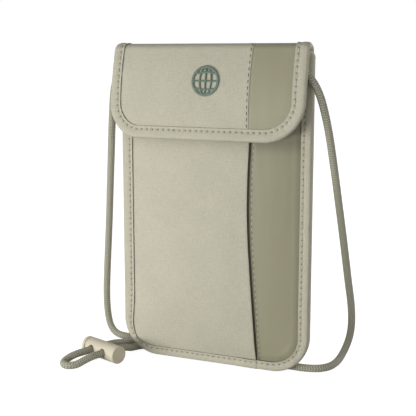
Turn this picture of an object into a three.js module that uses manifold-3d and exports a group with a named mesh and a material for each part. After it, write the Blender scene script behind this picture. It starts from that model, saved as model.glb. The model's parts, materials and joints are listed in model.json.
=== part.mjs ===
// Neck pouch wallet, standing on its bottom edge. Millimetres, +Z up, +X to the wearer's left, +Y to the back.
// The origin is the middle of the flat bottom edge, on the mid-plane of the bound seam.
import * as THREE from 'three';
import { mergeVertices } from 'three/addons/utils/BufferGeometryUtils.js';
import Module from 'manifold-3d';

const wasm = await Module();
wasm.setup();

// ---------- driving dimensions ----------
const GAP = 0.3; // clearance between touching pieces
const BODY = { halfWidth: 63, cornerRadius: 24, backTop: 195.2, mouth: 181.5, bindingTop: 193.5 };
const BINDING = { width: 7.0, thickness: 0.6 };
const SHEET = { panel: 0.6, lining: 0.3, film: 0.2, backFoam: 1.0, frontFoam: 1.0 };
const EDGE_HALF = 1.7; // half thickness of the stack of panels at the bound seam
const FRONT_SLOPE = 0.12; // how fast the front binding opens away from the seam
const BACK_SLOPE = 0.06;
const FRONT_BULGE = 9.0;
const BACK_BULGE = 0.83;
const WIDEST_Z = 150; // height where the front stands furthest out
const INSET = { panel: 1.5, lining: 12, foam: 17, divider: 22 };
const FOAM_RAMP = 3.0; // the lining steps in over the edge of the foam within this distance
const SLIP_POCKET_GAP = 0.8; // extra room behind the slip pocket's panel
const LAYER_TOP = { backPad: 178, backLining: 180, frontPad: 168, frontLining: 171.5, pocketLining: 168 };
const DIVIDER = { top: 130, front: -0.75, back: -0.45 };
const SEAM_X = 28.4; // seam between the light and the smooth fabric on the flap
const FLAP = {
  halfWidth: 62.8, top: 195.5, bottom: 142.6, cornerRadius: 22, bulge: 1.0, crestY: -16.1, crestZ: 163,
};
const FLAP_SHEET = { panel: 0.7, foam: 1.2, lining: 0.4 };
const CORD = { diameter: 4.6, sides: 8, step: 11 };
const COIL = { x: -22, y: 44, radius: 25, lift: 1.3 };
const LOCK = {
  x: -68.3, y: -21.85, z: 5.7, angle: -0.3663, radius: 5.7, boreRadius: 4.7, plungerRadius: 4.3,
  holeOffset: 5.65, holeRadius: 2.9, mouth: -12, end: 15.9, headEnd: -15.4, headStart: -13, travel: 0.8,
};
const SLEEVE = { length: 8.4, outer: 3.0, bore: 2.5 };
const PATCH = { halfWidth: 18, x: -6, bottom: 150, top: 170, thickness: 0.6 };

// ---------- materials ----------
const finish = (color, roughness) => new THREE.MeshStandardMaterial({ color, roughness, metalness: 0 });
const LIGHT_FABRIC = finish(0xbcb8a4, 0.9);
const SMOOTH_FABRIC = finish(0x95927a, 0.6);
const BINDING_TAPE = finish(0xaaa68f, 0.85);
const LINING = finish(0x8d8a78, 0.9);
const FOAM = finish(0xd8d6cc, 0.95);
const FILM = finish(0xb9bcc0, 0.4);
const HOOK_LOOP = finish(0x7f7c6a, 1.0);
const EMBLEM_RUBBER = finish(0x73877a, 0.6);
const BRAID = finish(0xa09e8c, 0.9);
const LOCK_PLASTIC = finish(0xbeb49e, 0.55);
const SPRING_STEEL = new THREE.MeshStandardMaterial({ color: 0xb0b0b0, roughness: 0.3, metalness: 1 });

// ---------- building helpers ----------
const clamp01 = (value) => Math.min(1, Math.max(0, value));
const smooth = (value) => clamp01(value) ** 2 * (3 - 2 * clamp01(value));
const point = (x, y, z) => new THREE.Vector3(x, y, z);

function closedGeometry(points, triangles) {
  let volume = 0;
  for (const [a, b, c] of triangles) {
    volume += points[a].dot(points[b].clone().cross(points[c]));
  }
  const geometry = new THREE.BufferGeometry();
  geometry.setAttribute('position', new THREE.Float32BufferAttribute(points.flatMap((p) => p.toArray()), 3));
  geometry.setIndex(triangles.flatMap(([a, b, c]) => (volume > 0 ? [a, b, c] : [a, c, b])));
  return geometry;
}

// A sheet with thickness: a grid of points on each face, joined around the rim.
function sheet(us, vs, outer, inner) {
  const columns = us.length;
  const rows = vs.length;
  const points = [];
  for (const face of [outer, inner]) {
    for (const v of vs) {
      for (const u of us) points.push(face(u, v));
    }
  }
  const at = (face, row, column) => face * rows * columns + row * columns + column;
  const triangles = [];
  const quad = (a, b, c, d) => triangles.push([a, b, c], [a, c, d]);
  for (let row = 0; row < rows - 1; row++) {
    for (let column = 0; column < columns - 1; column++) {
      const corners = [[row, column], [row, column + 1], [row + 1, column + 1], [row + 1, column]];
      const [a, b, c, d] = corners.map(([r, k]) => at(0, r, k));
      const [e, f, g, h] = corners.map(([r, k]) => at(1, r, k));
      quad(a, b, c, d);
      quad(e, h, g, f);
    }
  }
  const rim = [];
  for (let column = 0; column < columns - 1; column++) rim.push([0, column]);
  for (let row = 0; row < rows - 1; row++) rim.push([row, columns - 1]);
  for (let column = columns - 1; column > 0; column--) rim.push([rows - 1, column]);
  for (let row = rows - 1; row > 0; row--) rim.push([row, 0]);
  rim.forEach(([row, column], index) => {
    const [nextRow, nextColumn] = rim[(index + 1) % rim.length];
    quad(at(0, row, column), at(1, row, column), at(1, nextRow, nextColumn), at(0, nextRow, nextColumn));
  });
  return closedGeometry(points, triangles);
}

function toManifold(geometry) {
  const bare = geometry.clone();
  for (const name of Object.keys(bare.attributes)) {
    if (name !== 'position') bare.deleteAttribute(name);
  }
  const merged = mergeVertices(bare, 1e-4);
  const vertProperties = new Float32Array(merged.attributes.position.array);
  const triVerts = new Uint32Array(merged.index.array);
  return new wasm.Manifold(new wasm.Mesh({ numProp: 3, vertProperties, triVerts }));
}

function fromManifold(solid) {
  const mesh = solid.getMesh();
  const geometry = new THREE.BufferGeometry();
  geometry.setAttribute('position', new THREE.BufferAttribute(new Float32Array(mesh.vertProperties), 3));
  geometry.setIndex(new THREE.BufferAttribute(new Uint32Array(mesh.triVerts), 1));
  return geometry;
}

function cut(geometry, ...tools) {
  return fromManifold(tools.reduce((solid, tool) => solid.subtract(toManifold(tool)), toManifold(geometry)));
}

// A lathe turned about Y, from [radius, height] pairs.
const lathe = (profile, segments) => new THREE.LatheGeometry(
  profile.map(([radius, height]) => new THREE.Vector2(radius, height)), segments);

const pouch = new THREE.Group();

function add(name, geometry, material) {
  const mesh = new THREE.Mesh(geometry, material);
  mesh.name = name;
  pouch.add(mesh);
  return mesh;
}

// ---------- shape of the pouch body ----------
// Distance in from the outline: straight sides, a straight bottom and two round bottom corners.
function insetOf(x, z) {
  const { halfWidth, cornerRadius } = BODY;
  const beyondX = Math.abs(x) - (halfWidth - cornerRadius);
  const beyondZ = cornerRadius - z;
  if (beyondX > 0 && beyondZ > 0) return cornerRadius - Math.hypot(beyondX, beyondZ);
  return Math.min(halfWidth - Math.abs(x), z);
}

function halfWidthAt(z, inset) {
  const { halfWidth, cornerRadius } = BODY;
  const radius = cornerRadius - inset;
  if (radius <= 0 || z >= cornerRadius) return halfWidth - inset;
  return halfWidth - cornerRadius + Math.sqrt(Math.max(0, radius ** 2 - (cornerRadius - z) ** 2));
}

function bulgeAt(z) {
  if (z < WIDEST_Z) return 0.78 + 0.22 * Math.sin((Math.PI / 2) * (z / WIDEST_Z));
  return 1 - 0.23 * ((z - WIDEST_Z) / 32) ** 2;
}

function frontLevel(x, z) {
  const inset = insetOf(x, z);
  const inward = clamp01((inset - BINDING.width) / (BODY.halfWidth - BINDING.width));
  const crown = 1 - (1 - inward) ** 2.6;
  return EDGE_HALF + FRONT_SLOPE * Math.min(inset, BINDING.width) + FRONT_BULGE * bulgeAt(z) * crown;
}

function backLevel(x, z) {
  const inset = insetOf(x, z);
  const rise = smooth((inset - BINDING.width) / 10);
  return EDGE_HALF + BACK_SLOPE * Math.min(inset, BINDING.width) + BACK_BULGE * rise;
}

const pocketRoom = (x, z) => SLIP_POCKET_GAP * clamp01((insetOf(x, z) - BINDING.width) / 4.2);
const foamShare = (x, z) => clamp01((insetOf(x, z) - INSET.lining) / FOAM_RAMP);
const topFade = (z) => 1 - clamp01((z - LAYER_TOP.frontPad) / 3.5);

// Depths below the front's outer face, layer by layer.
const smoothPanelDepth = (x, z) => SHEET.panel + GAP + pocketRoom(x, z);
const frontFoamDepth = (x, z) => smoothPanelDepth(x, z) + SHEET.panel + GAP;
const frontLiningDepth = (x, z) => frontFoamDepth(x, z) + (SHEET.frontFoam + GAP) * foamShare(x, z) * topFade(z);

// Depths below the back's outer face.
const BACK_FOAM_DEPTH = SHEET.panel + GAP;
const FILM_DEPTH = BACK_FOAM_DEPTH + SHEET.backFoam + GAP;
const backLiningDepth = (x, z) => BACK_FOAM_DEPTH
  + (SHEET.backFoam + GAP + SHEET.film + GAP) * foamShare(x, z);

const SHARED_X = [0, 13, 26, 36, 42, 47, 51, 56];
const LAST_COLUMN = 13; // the slip pocket's last shared column before its free edge
const SHARED_Z = [4.2, 7, 12, 16, 20, 24, 45, 75, 110, 150, 168];

function spread(low, high, shared) {
  return [low, ...shared.filter((value) => value > low + 1 && value < high - 1), high];
}

// One layer of the body. depth is how far its outer face lies below the level, and right may stop it short.
function bodyLayer({ inset, top, level, side, depth, thickness, right }) {
  const full = BODY.halfWidth - inset;
  const mirrored = [...SHARED_X.slice(1).map((x) => -x).reverse(), ...SHARED_X];
  const whole = spread(-full, full, mirrored);
  const us = right ? [...whole.filter((u) => u <= LAST_COLUMN), full] : whole;
  const vs = spread(inset, top, SHARED_Z);
  const place = (extra) => (u, z) => {
    const half = halfWidthAt(z, inset);
    const x = right && u === full ? right(z) : u * (half / full);
    return point(x, side * (level(x, z) - depth(x, z) - extra), z);
  };
  return sheet(us, vs, place(0), place(thickness));
}

const none = () => 0;
const FRONT = { level: frontLevel, side: -1 };
const BACK = { level: backLevel, side: 1 };

// ---------- back of the body ----------
add('back_panel', bodyLayer({ ...BACK, inset: INSET.panel, top: BODY.backTop, depth: none,
  thickness: SHEET.panel }), LIGHT_FABRIC);
add('back_foam', bodyLayer({ ...BACK, inset: INSET.foam, top: LAYER_TOP.backPad, depth: () => BACK_FOAM_DEPTH,
  thickness: SHEET.backFoam }), FOAM);
add('blocking_film', bodyLayer({ ...BACK, inset: INSET.foam, top: LAYER_TOP.backPad, depth: () => FILM_DEPTH,
  thickness: SHEET.film }), FILM);
add('back_lining', bodyLayer({ ...BACK, inset: INSET.lining, top: LAYER_TOP.backLining, depth: backLiningDepth,
  thickness: SHEET.lining }), LINING);

// ---------- divider: a flat card pocket inside the main compartment ----------
function dividerGeometry() {
  const half = BODY.halfWidth - INSET.divider;
  const radius = 4;
  const shape = new THREE.Shape();
  shape.moveTo(-half, DIVIDER.top);
  shape.lineTo(-half, INSET.divider + radius);
  shape.absarc(-half + radius, INSET.divider + radius, radius, Math.PI, 1.5 * Math.PI);
  shape.lineTo(half - radius, INSET.divider);
  shape.absarc(half - radius, INSET.divider + radius, radius, 1.5 * Math.PI, 2 * Math.PI);
  shape.lineTo(half, DIVIDER.top);
  const options = { depth: DIVIDER.back - DIVIDER.front, bevelEnabled: false, curveSegments: 3 };
  return new THREE.ExtrudeGeometry(shape, options).rotateX(Math.PI / 2).translate(0, DIVIDER.back, 0);
}
add('divider_panel', dividerGeometry(), LINING);

// ---------- front of the body ----------
// The slip pocket's free edge bows inwards below the flap.
function pocketEdge(z) {
  const narrowest = 104;
  if (z > narrowest) return 25.7 + ((z - narrowest) / 34) ** 2;
  return 25.7 + 1.85 * (1 - Math.cos(Math.PI * clamp01((narrowest - z) / 88)));
}
add('front_lining', bodyLayer({ ...FRONT, inset: INSET.lining, top: LAYER_TOP.frontLining, depth: frontLiningDepth,
  thickness: SHEET.lining }), LINING);
add('front_foam', bodyLayer({ ...FRONT, inset: INSET.foam, top: LAYER_TOP.frontPad, depth: frontFoamDepth,
  thickness: SHEET.frontFoam }), FOAM);
add('front_panel_smooth', bodyLayer({ ...FRONT, inset: INSET.panel, top: BODY.mouth,
  depth: smoothPanelDepth, thickness: SHEET.panel }), SMOOTH_FABRIC);
add('slip_pocket_lining', bodyLayer({ ...FRONT, inset: INSET.lining, top: LAYER_TOP.pocketLining,
  depth: () => SHEET.panel + GAP, thickness: SHEET.lining, right: (z) => pocketEdge(z) - 2 }), LINING);
add('slip_pocket_panel', bodyLayer({ ...FRONT, inset: INSET.panel, top: BODY.mouth, depth: none,
  thickness: SHEET.panel, right: pocketEdge }), LIGHT_FABRIC);

// Tape folded over the front's top edge, from the lining over the rim to the outside.
function mouthHemGeometry() {
  const leg = 9;
  const tape = 0.5;
  const half = BODY.halfWidth - INSET.lining;
  const top = BODY.mouth;
  const liningDepth = (x) => frontLiningDepth(x, top);
  const across = [
    { z: () => top - leg, outer: -(GAP + tape), inner: -GAP },
    { z: (skin) => top + GAP + skin * tape, outer: -(GAP + tape), inner: -GAP },
    { z: (skin) => top + GAP + skin * tape, lining: true, outer: tape, inner: 0 },
    { z: () => top - leg, lining: true, outer: tape, inner: 0 },
  ];
  const place = (face) => (x, v) => {
    const z = across[v].z(face === 'outer' ? 1 : 0);
    const base = across[v].lining ? liningDepth(x) : 0;
    return point(x, -(frontLevel(x, Math.min(z, top)) - base - across[v][face]), z);
  };
  const us = spread(-half, half, [...SHARED_X.slice(1).map((x) => -x).reverse(), ...SHARED_X]);
  return sheet(us, [0, 1, 2, 3], place('outer'), place('inner'));
}
add('mouth_hem', mouthHemGeometry(), BINDING_TAPE);

// Tape folded over the seam, down one side, along the bottom and up the other.
function outlinePath(halfWidth, top, bottom, radius, straights, arcSteps) {
  const path = [];
  for (const share of straights) {
    path.push({ x: -halfWidth, z: top + (bottom + radius - top) * share, nx: 1, nz: 0 });
  }
  for (let step = 1; step <= arcSteps; step++) {
    const angle = Math.PI + (Math.PI / 2) * (step / arcSteps);
    path.push({ x: -halfWidth + radius + radius * Math.cos(angle), z: bottom + radius + radius * Math.sin(angle),
      nx: -Math.cos(angle), nz: -Math.sin(angle) });
  }
  const middle = { x: 0, z: bottom, nx: 0, nz: 1 };
  const mirrored = path.map((p) => ({ x: -p.x, z: p.z, nx: -p.nx, nz: p.nz })).reverse();
  return [...path, middle, ...mirrored];
}

function bodyBindingGeometry() {
  const { width, thickness } = BINDING;
  const path = outlinePath(BODY.halfWidth, BODY.bindingTop, 0, BODY.cornerRadius, [0, 0.25, 0.5, 0.75, 1], 6);
  const leg = (slope, t) => EDGE_HALF + GAP + slope * t;
  const across = [
    { outer: [width, leg(BACK_SLOPE, width) + thickness], inner: [width, leg(BACK_SLOPE, width)] },
    { outer: [0.6, leg(BACK_SLOPE, 0.6) + thickness], inner: [1.0, leg(BACK_SLOPE, 1.0)] },
    { outer: [0, 2.0], inner: [thickness, 1.6] },
    { outer: [0, -2.0], inner: [thickness, -1.6] },
    { outer: [0.6, -leg(FRONT_SLOPE, 0.6) - thickness], inner: [1.0, -leg(FRONT_SLOPE, 1.0)] },
    { outer: [width, -leg(FRONT_SLOPE, width) - thickness], inner: [width, -leg(FRONT_SLOPE, width)] },
  ];
  const place = (face) => (u, v) => {
    const [t, y] = across[v][face];
    const p = path[u];
    return point(p.x + p.nx * t, y, p.z + p.nz * t);
  };
  return sheet([...path.keys()], [...across.keys()], place('outer'), place('inner'));
}
add('body_binding', bodyBindingGeometry(), BINDING_TAPE);

const patchColumns = [-1, -0.5, 0, 0.5, 1].map((share) => PATCH.x + share * PATCH.halfWidth);
const patchRows = [PATCH.bottom, PATCH.bottom + 7, PATCH.top - 7, PATCH.top];
const loopFace = (height) => (x, z) => point(x, -(frontLevel(x, z) + GAP + height), z);
add('loop_patch', sheet(patchColumns, patchRows, loopFace(PATCH.thickness), loopFace(0)), HOOK_LOOP);

// ---------- fold strip: the fabric that crosses the top, hinged at the back and at the front ----------
const STRIP_ARCH = [[2.2, 197.0], [-1.2, 198.9], [-4.6, 199.5], [-7.6, 198.6], [-9.5, 196.9]];
function stripGeometry(left, right, depth, thickness) {
  const place = (extra) => (x, v) => {
    const [y, z] = STRIP_ARCH[v];
    const [y0, z0] = STRIP_ARCH[Math.max(0, v - 1)];
    const [y1, z1] = STRIP_ARCH[Math.min(STRIP_ARCH.length - 1, v + 1)];
    const run = Math.hypot(y1 - y0, z1 - z0);
    const down = depth + extra;
    return point(x, y + ((z1 - z0) / run) * -down, z + ((y1 - y0) / run) * down);
  };
  return sheet([left, (left + right) / 2, right], [...STRIP_ARCH.keys()], place(0), place(thickness));
}
const STRIP_HALF = FLAP.halfWidth - 0.5;
add('fold_strip', stripGeometry(-STRIP_HALF, SEAM_X - GAP / 2, 0, 0.7), LIGHT_FABRIC);
add('fold_side_strip', stripGeometry(SEAM_X + GAP / 2, STRIP_HALF, 0, 0.7), SMOOTH_FABRIC);
add('fold_lining', stripGeometry(2 - STRIP_HALF, STRIP_HALF - 2, 0.7 + GAP, FLAP_SHEET.lining), LINING);

// ---------- flap ----------
function flapLevel(x, z) {
  const curl = z > FLAP.crestZ ? 0.0061 : 0.0046;
  const crown = FLAP.bulge * (1 - (x / FLAP.halfWidth) ** 2);
  return FLAP.crestY - crown + curl * (z - FLAP.crestZ) ** 2;
}

function flapHalfWidthAt(z, inset) {
  const radius = FLAP.cornerRadius - inset;
  const centre = FLAP.bottom + FLAP.cornerRadius;
  if (z >= centre) return FLAP.halfWidth - inset;
  return FLAP.halfWidth - FLAP.cornerRadius + Math.sqrt(Math.max(0, radius ** 2 - (centre - z) ** 2));
}

function flapInset(x, z) {
  const beyondX = Math.abs(x) - (FLAP.halfWidth - FLAP.cornerRadius);
  const beyondZ = FLAP.bottom + FLAP.cornerRadius - z;
  if (beyondX > 0 && beyondZ > 0) return FLAP.cornerRadius - Math.hypot(beyondX, beyondZ);
  return Math.min(FLAP.halfWidth - Math.abs(x), z - FLAP.bottom);
}

const FLAP_X = [-50.4, -34, -18, 0, 18, 34, 50.4];
const FLAP_Z = [146.5, 149.6, 153.6, 158, 163, 170, 178, 186, 191];
function flapLayer({ inset, top, depth, thickness, from = -1, to = 1 }) {
  const full = FLAP.halfWidth - inset;
  const low = from === -1 ? -full : from;
  const high = to === 1 ? full : to;
  const us = spread(low, high, FLAP_X);
  const vs = spread(FLAP.bottom + inset, top, FLAP_Z);
  const place = (extra) => (u, z) => {
    const half = flapHalfWidthAt(z, inset);
    const left = from === -1 ? -half : from;
    const right = to === 1 ? half : to;
    const x = left + ((u - low) / (high - low)) * (right - left);
    return point(x, flapLevel(x, z) + depth(x, z) + extra, z);
  };
  return sheet(us, vs, place(0), place(thickness));
}

const flapFoamShare = (x, z) => clamp01((flapInset(x, z) - 8) / 4) * (1 - clamp01((z - 186) / 3));
const flapLiningDepth = (x, z) => FLAP_SHEET.panel + GAP + (FLAP_SHEET.foam + GAP) * flapFoamShare(x, z);
add('flap_panel', flapLayer({ inset: 1, top: FLAP.top, depth: none, thickness: FLAP_SHEET.panel,
  to: SEAM_X - GAP / 2 }), LIGHT_FABRIC);
add('flap_side_panel', flapLayer({ inset: 1, top: FLAP.top, depth: none, thickness: FLAP_SHEET.panel,
  from: SEAM_X + GAP / 2 }), SMOOTH_FABRIC);
add('flap_foam', flapLayer({ inset: 14, top: 185, depth: () => FLAP_SHEET.panel + GAP,
  thickness: FLAP_SHEET.foam }), FOAM);
add('flap_lining', flapLayer({ inset: 8.4, top: FLAP.top, depth: flapLiningDepth,
  thickness: FLAP_SHEET.lining }), LINING);

function flapBindingGeometry() {
  const { width, thickness } = BINDING;
  const { halfWidth, bottom, cornerRadius } = FLAP;
  const path = outlinePath(halfWidth, 193, bottom, cornerRadius, [0, 0.2, 0.45, 0.75, 1], 5);
  const back = FLAP_SHEET.panel + GAP;
  const across = [
    { outer: [width, -GAP - thickness], inner: [width, -GAP] },
    { outer: [0.5, -GAP - thickness], inner: [0.7, -GAP] },
    { outer: [0, -GAP], inner: [0.7, 0] },
    { outer: [0, back], inner: [0.7, back - GAP] },
    { outer: [0.5, back + thickness], inner: [0.7, back] },
    { outer: [width, back + thickness], inner: [width, back] },
  ];
  const place = (face) => (u, v) => {
    const [t, y] = across[v][face];
    const p = path[u];
    const x = p.x + p.nx * t;
    const z = p.z + p.nz * t;
    return point(x, flapLevel(x, z) + y, z);
  };
  return sheet([...path.keys()], [...across.keys()], place('outer'), place('inner'));
}
add('flap_binding', flapBindingGeometry(), BINDING_TAPE);

const hookFace = (extra) => (x, z) => point(x, flapLevel(x, z) + flapLiningDepth(x, z)
  + FLAP_SHEET.lining + GAP + extra, z);
const hookRows = [154, 160, 166, 172];
add('hook_patch', sheet(patchColumns, hookRows, hookFace(0), hookFace(PATCH.thickness)), HOOK_LOOP);

// A plain round globe badge, raised on the flap.
function emblemGeometry() {
  const radius = 8.8;
  const height = 1.1;
  const centre = { x: 1, z: 177.5 };
  const tilt = -Math.atan(2 * 0.0061 * (centre.z - FLAP.crestZ));
  const disc = new THREE.CylinderGeometry(radius, radius, height, 32);
  const y = flapLevel(centre.x, centre.z) - GAP - 0.35 - height / 2;
  return disc.rotateX(tilt).translate(centre.x, y, centre.z);
}
add('emblem', emblemGeometry(), EMBLEM_RUBBER);

// ---------- cord anchors: a webbing tab and an end sleeve on each side ----------
const ANCHOR = { inner: point(43.6, -2.2, 188.9), outer: point(51.6, -5.4, 186.7) };
function cordAnchor(side) {
  const name = side < 0 ? 'left' : 'right';
  const inner = point(side * ANCHOR.inner.x, ANCHOR.inner.y, ANCHOR.inner.z);
  const outer = point(side * ANCHOR.outer.x, ANCHOR.outer.y, ANCHOR.outer.z);
  const direction = outer.clone().sub(inner).normalize();
  const wall = 1.2;
  const profile = [[0, 0], [SLEEVE.outer - 0.5, 0], [SLEEVE.outer, 0.5], [SLEEVE.outer, SLEEVE.length - 0.4],
    [SLEEVE.outer - 0.4, SLEEVE.length], [SLEEVE.bore, SLEEVE.length], [SLEEVE.bore, wall], [0, wall]];
  const sleeve = lathe(profile, 16);
  const turn = new THREE.Quaternion().setFromUnitVectors(point(0, 1, 0), direction);
  const start = inner.clone();
  add(`cord_sleeve_${name}`, sleeve.applyQuaternion(turn).translate(...start.toArray()), LOCK_PLASTIC);
  const tab = new THREE.BoxGeometry(11, 3.2, 9).translate(side * 37.2, 0.1, 188.6);
  add(`cord_tab_${name}`, tab, BINDING_TAPE);
}
cordAnchor(-1);
cordAnchor(1);

// ---------- cord lock: barrel, sprung plunger and spring ----------
const lockAxis = point(Math.cos(LOCK.angle), Math.sin(LOCK.angle), 0);
const lockAcross = point(-Math.sin(LOCK.angle), Math.cos(LOCK.angle), 0);
const lockCentre = point(LOCK.x, LOCK.y, LOCK.z);
// A point given along the barrel, along the cords and in height.
const lockPoint = (along, across, z) => lockCentre.clone().addScaledVector(lockAxis, along)
  .addScaledVector(lockAcross, across).setZ(z);
// Geometry built along Y, laid along the barrel.
const layOnLock = (geometry) => geometry
  .rotateZ(-Math.PI / 2 + LOCK.angle).translate(LOCK.x, LOCK.y, LOCK.z);
function crossHole(along, radius, stretch) {
  const drill = new THREE.CylinderGeometry(radius, radius, 20, 20);
  return drill.rotateZ(Math.PI / 2).scale(1, stretch, 1).translate(0, along, 0);
}

function lockBarrel() {
  const { radius, boreRadius, mouth, end, holeOffset, holeRadius } = LOCK;
  const rim = 0.6;
  const wall = 1.5;
  const profile = [[boreRadius, mouth], [radius - 0.3, mouth], [radius, mouth + 0.3], [radius, end - rim],
    [radius - rim, end], [0, end], [0, end - wall], [boreRadius, end - wall], [boreRadius, mouth]];
  const shell = lathe(profile, 28);
  const holes = [-holeOffset, holeOffset].map((along) => crossHole(along, holeRadius, 1));
  return layOnLock(cut(shell, ...holes));
}
add('lock_barrel', lockBarrel(), LOCK_PLASTIC);

function lockPlunger() {
  const { radius, plungerRadius, headEnd, headStart, holeOffset, holeRadius, travel } = LOCK;
  const shaftEnd = 10;
  const profile = [[0, headEnd], [radius - 0.7, headEnd], [radius, headEnd + 0.7], [radius, headStart - 0.3],
    [radius - 0.3, headStart], [plungerRadius, headStart], [plungerRadius, shaftEnd], [0, shaftEnd]];
  const shaft = lathe(profile, 28);
  const stretch = (holeRadius + travel) / holeRadius;
  const slots = [-holeOffset, holeOffset].map((along) => crossHole(along, holeRadius, stretch));
  return layOnLock(cut(shaft, ...slots));
}
add('lock_plunger', lockPlunger(), LOCK_PLASTIC);

const springStart = 10 + LOCK.travel + GAP;
const springProfile = [[2.4, springStart], [3.5, springStart], [3.5, 14.1], [2.4, 14.1], [2.4, springStart]];
add('lock_spring', layOnLock(lathe(springProfile, 16)), SPRING_STEEL);

// ---------- neck cord ----------
// One cord: from the left sleeve to the coil, from there through the lock and back, then to the right sleeve.
const LEFT_ROUTE = [
  point(-51.65, -5.42, 186.69), point(-55.3, -6.8, 185.4), point(-59.2, -7.4, 183.0), point(-62.5, -7.1, 179.2),
  point(-65.0, -6.5, 174.2), point(-66.6, -5.7, 167), point(-67.8, -4.9, 157.5), point(-69.1, -3.8, 148.1),
  point(-71.2, -1.4, 133), point(-74.4, 2.3, 113), point(-78.3, 7.2, 91), point(-82.2, 11.7, 69),
  point(-86.2, 16.4, 48), point(-88.8, 19.7, 32), point(-90.0, 22.2, 20), point(-89.8, 23.3, 13),
  point(-88.5, 23.2, 7.9), point(-85.6, 22.2, 4.4), point(-81.2, 20.4, 2.7), point(-75.8, 18.9, 2.3),
  point(-70.2, 19.2, 2.3), point(-64.2, 23.0, 2.4), point(-58.6, 28.4, 2.8), point(-53.8, 33.4, 3.3),
];
const STRAND_ROUTE = [
  point(-40, 15.2, 4.5), point(-46, 14.8, 3.2), point(-53.5, 13.2, 2.4), point(-60.4, 9.8, 2.5),
  point(-64.9, 4.2, 3.4),
  lockPoint(-5.65, 19, 4.7), lockPoint(-5.65, 15.5, 5.4), lockPoint(-5.65, 11.5, 5.7),
  lockPoint(-5.65, 0, 5.7), lockPoint(-5.65, -13.5, 5.7), lockPoint(-6.4, -18.5, 5.1),
  lockPoint(-7.1, -22.6, 3.8), lockPoint(-6.1, -26.7, 2.7), lockPoint(-2.6, -29.1, 2.35),
  lockPoint(1.4, -28.1, 2.35), lockPoint(3.9, -24.2, 2.8), lockPoint(4.9, -19.2, 4.4),
  lockPoint(5.65, -13.5, 5.7), lockPoint(5.65, 0, 5.7), lockPoint(5.65, 11.5, 5.7),
  point(-58.0, -9.3, 4.8), point(-57.6, -5.0, 3.3), point(-57.2, -0.9, 2.5), point(-55.5, 3.2, 2.3),
  point(-51.9, 6.1, 2.3), point(-46.8, 7.4, 2.3), point(-40, 7.6, 2.3), point(-26, 7.0, 2.3),
  point(-10, 6.5, 2.3), point(10, 6.4, 2.3),
  point(30, 6.3, 2.3), point(48, 6.2, 2.3), point(59, 6.3, 2.3), point(66.4, 8.6, 2.3), point(71.2, 14.2, 2.3),
  point(73.0, 21.5, 2.3), point(73.4, 29, 2.3), point(74.0, 35.0, 3.9), point(75.2, 39.0, 7.6),
  point(76.7, 40.6, 12.8), point(78.1, 39.6, 19), point(79.2, 36.8, 27), point(79.6, 32.8, 38),
  point(78.8, 27, 55), point(77.0, 20, 81.5), point(75.3, 14, 104), point(73.6, 8, 126),
  point(71.8, 2.4, 146), point(70.2, -1.9, 159), point(68.0, -5.2, 169.5), point(65.4, -6.6, 175.6),
  point(62.7, -7.2, 179.6), point(59.2, -7.4, 183.0), point(55.3, -6.8, 185.4), point(51.65, -5.42, 186.69),
];

function cordTube(route) {
  const curve = new THREE.CatmullRomCurve3(route, false, 'centripetal');
  const section = new THREE.Shape();
  const radius = CORD.diameter / 2;
  for (let side = 0; side < CORD.sides; side++) {
    const angle = (2 * Math.PI * side) / CORD.sides;
    const corner = [radius * Math.cos(angle), radius * Math.sin(angle)];
    if (side === 0) section.moveTo(...corner);
    else section.lineTo(...corner);
  }
  section.closePath();
  const steps = Math.round(curve.getLength() / CORD.step);
  return new THREE.ExtrudeGeometry(section, { steps, extrudePath: curve, bevelEnabled: false });
}
add('cord_left', cordTube(LEFT_ROUTE), BRAID);
add('cord_right', cordTube(STRAND_ROUTE), BRAID);

function cordCoil() {
  const inner = COIL.radius - CORD.diameter;
  const outer = COIL.radius + CORD.diameter;
  const low = COIL.lift;
  const high = COIL.lift + 2 * CORD.diameter;
  const profile = [[inner, low], [outer, low], [outer, high], [inner, high], [inner, low]];
  return lathe(profile, 32).rotateX(Math.PI / 2).translate(COIL.x, COIL.y, 0);
}
add('cord_coil', cordCoil(), BRAID);

// Hook-and-loop strap around the coil's section, on the side away from the pouch.
function cordTie() {
  const roomAcross = CORD.diameter + 0.9;
  const roomUp = CORD.diameter + GAP;
  const strap = 0.9;
  const width = 9;
  const outerBox = new THREE.BoxGeometry(width, 2 * (roomAcross + strap), 2 * (roomUp + strap));
  const innerBox = new THREE.BoxGeometry(width + 2, 2 * roomAcross, 2 * roomUp);
  return cut(outerBox, innerBox).translate(COIL.x, COIL.y + COIL.radius, COIL.lift + CORD.diameter);
}
add('cord_tie', cordTie(), HOOK_LOOP);

export default pouch;
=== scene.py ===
"""Neck pouch wallet: sewn fabric, stitching, braided cord and cord lock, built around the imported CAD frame.

Shapes are worked out in millimetres, in the CAD's own frame: +Z up, +X to the right of the front,
+Y to the back.
"""
import json
import math

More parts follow.
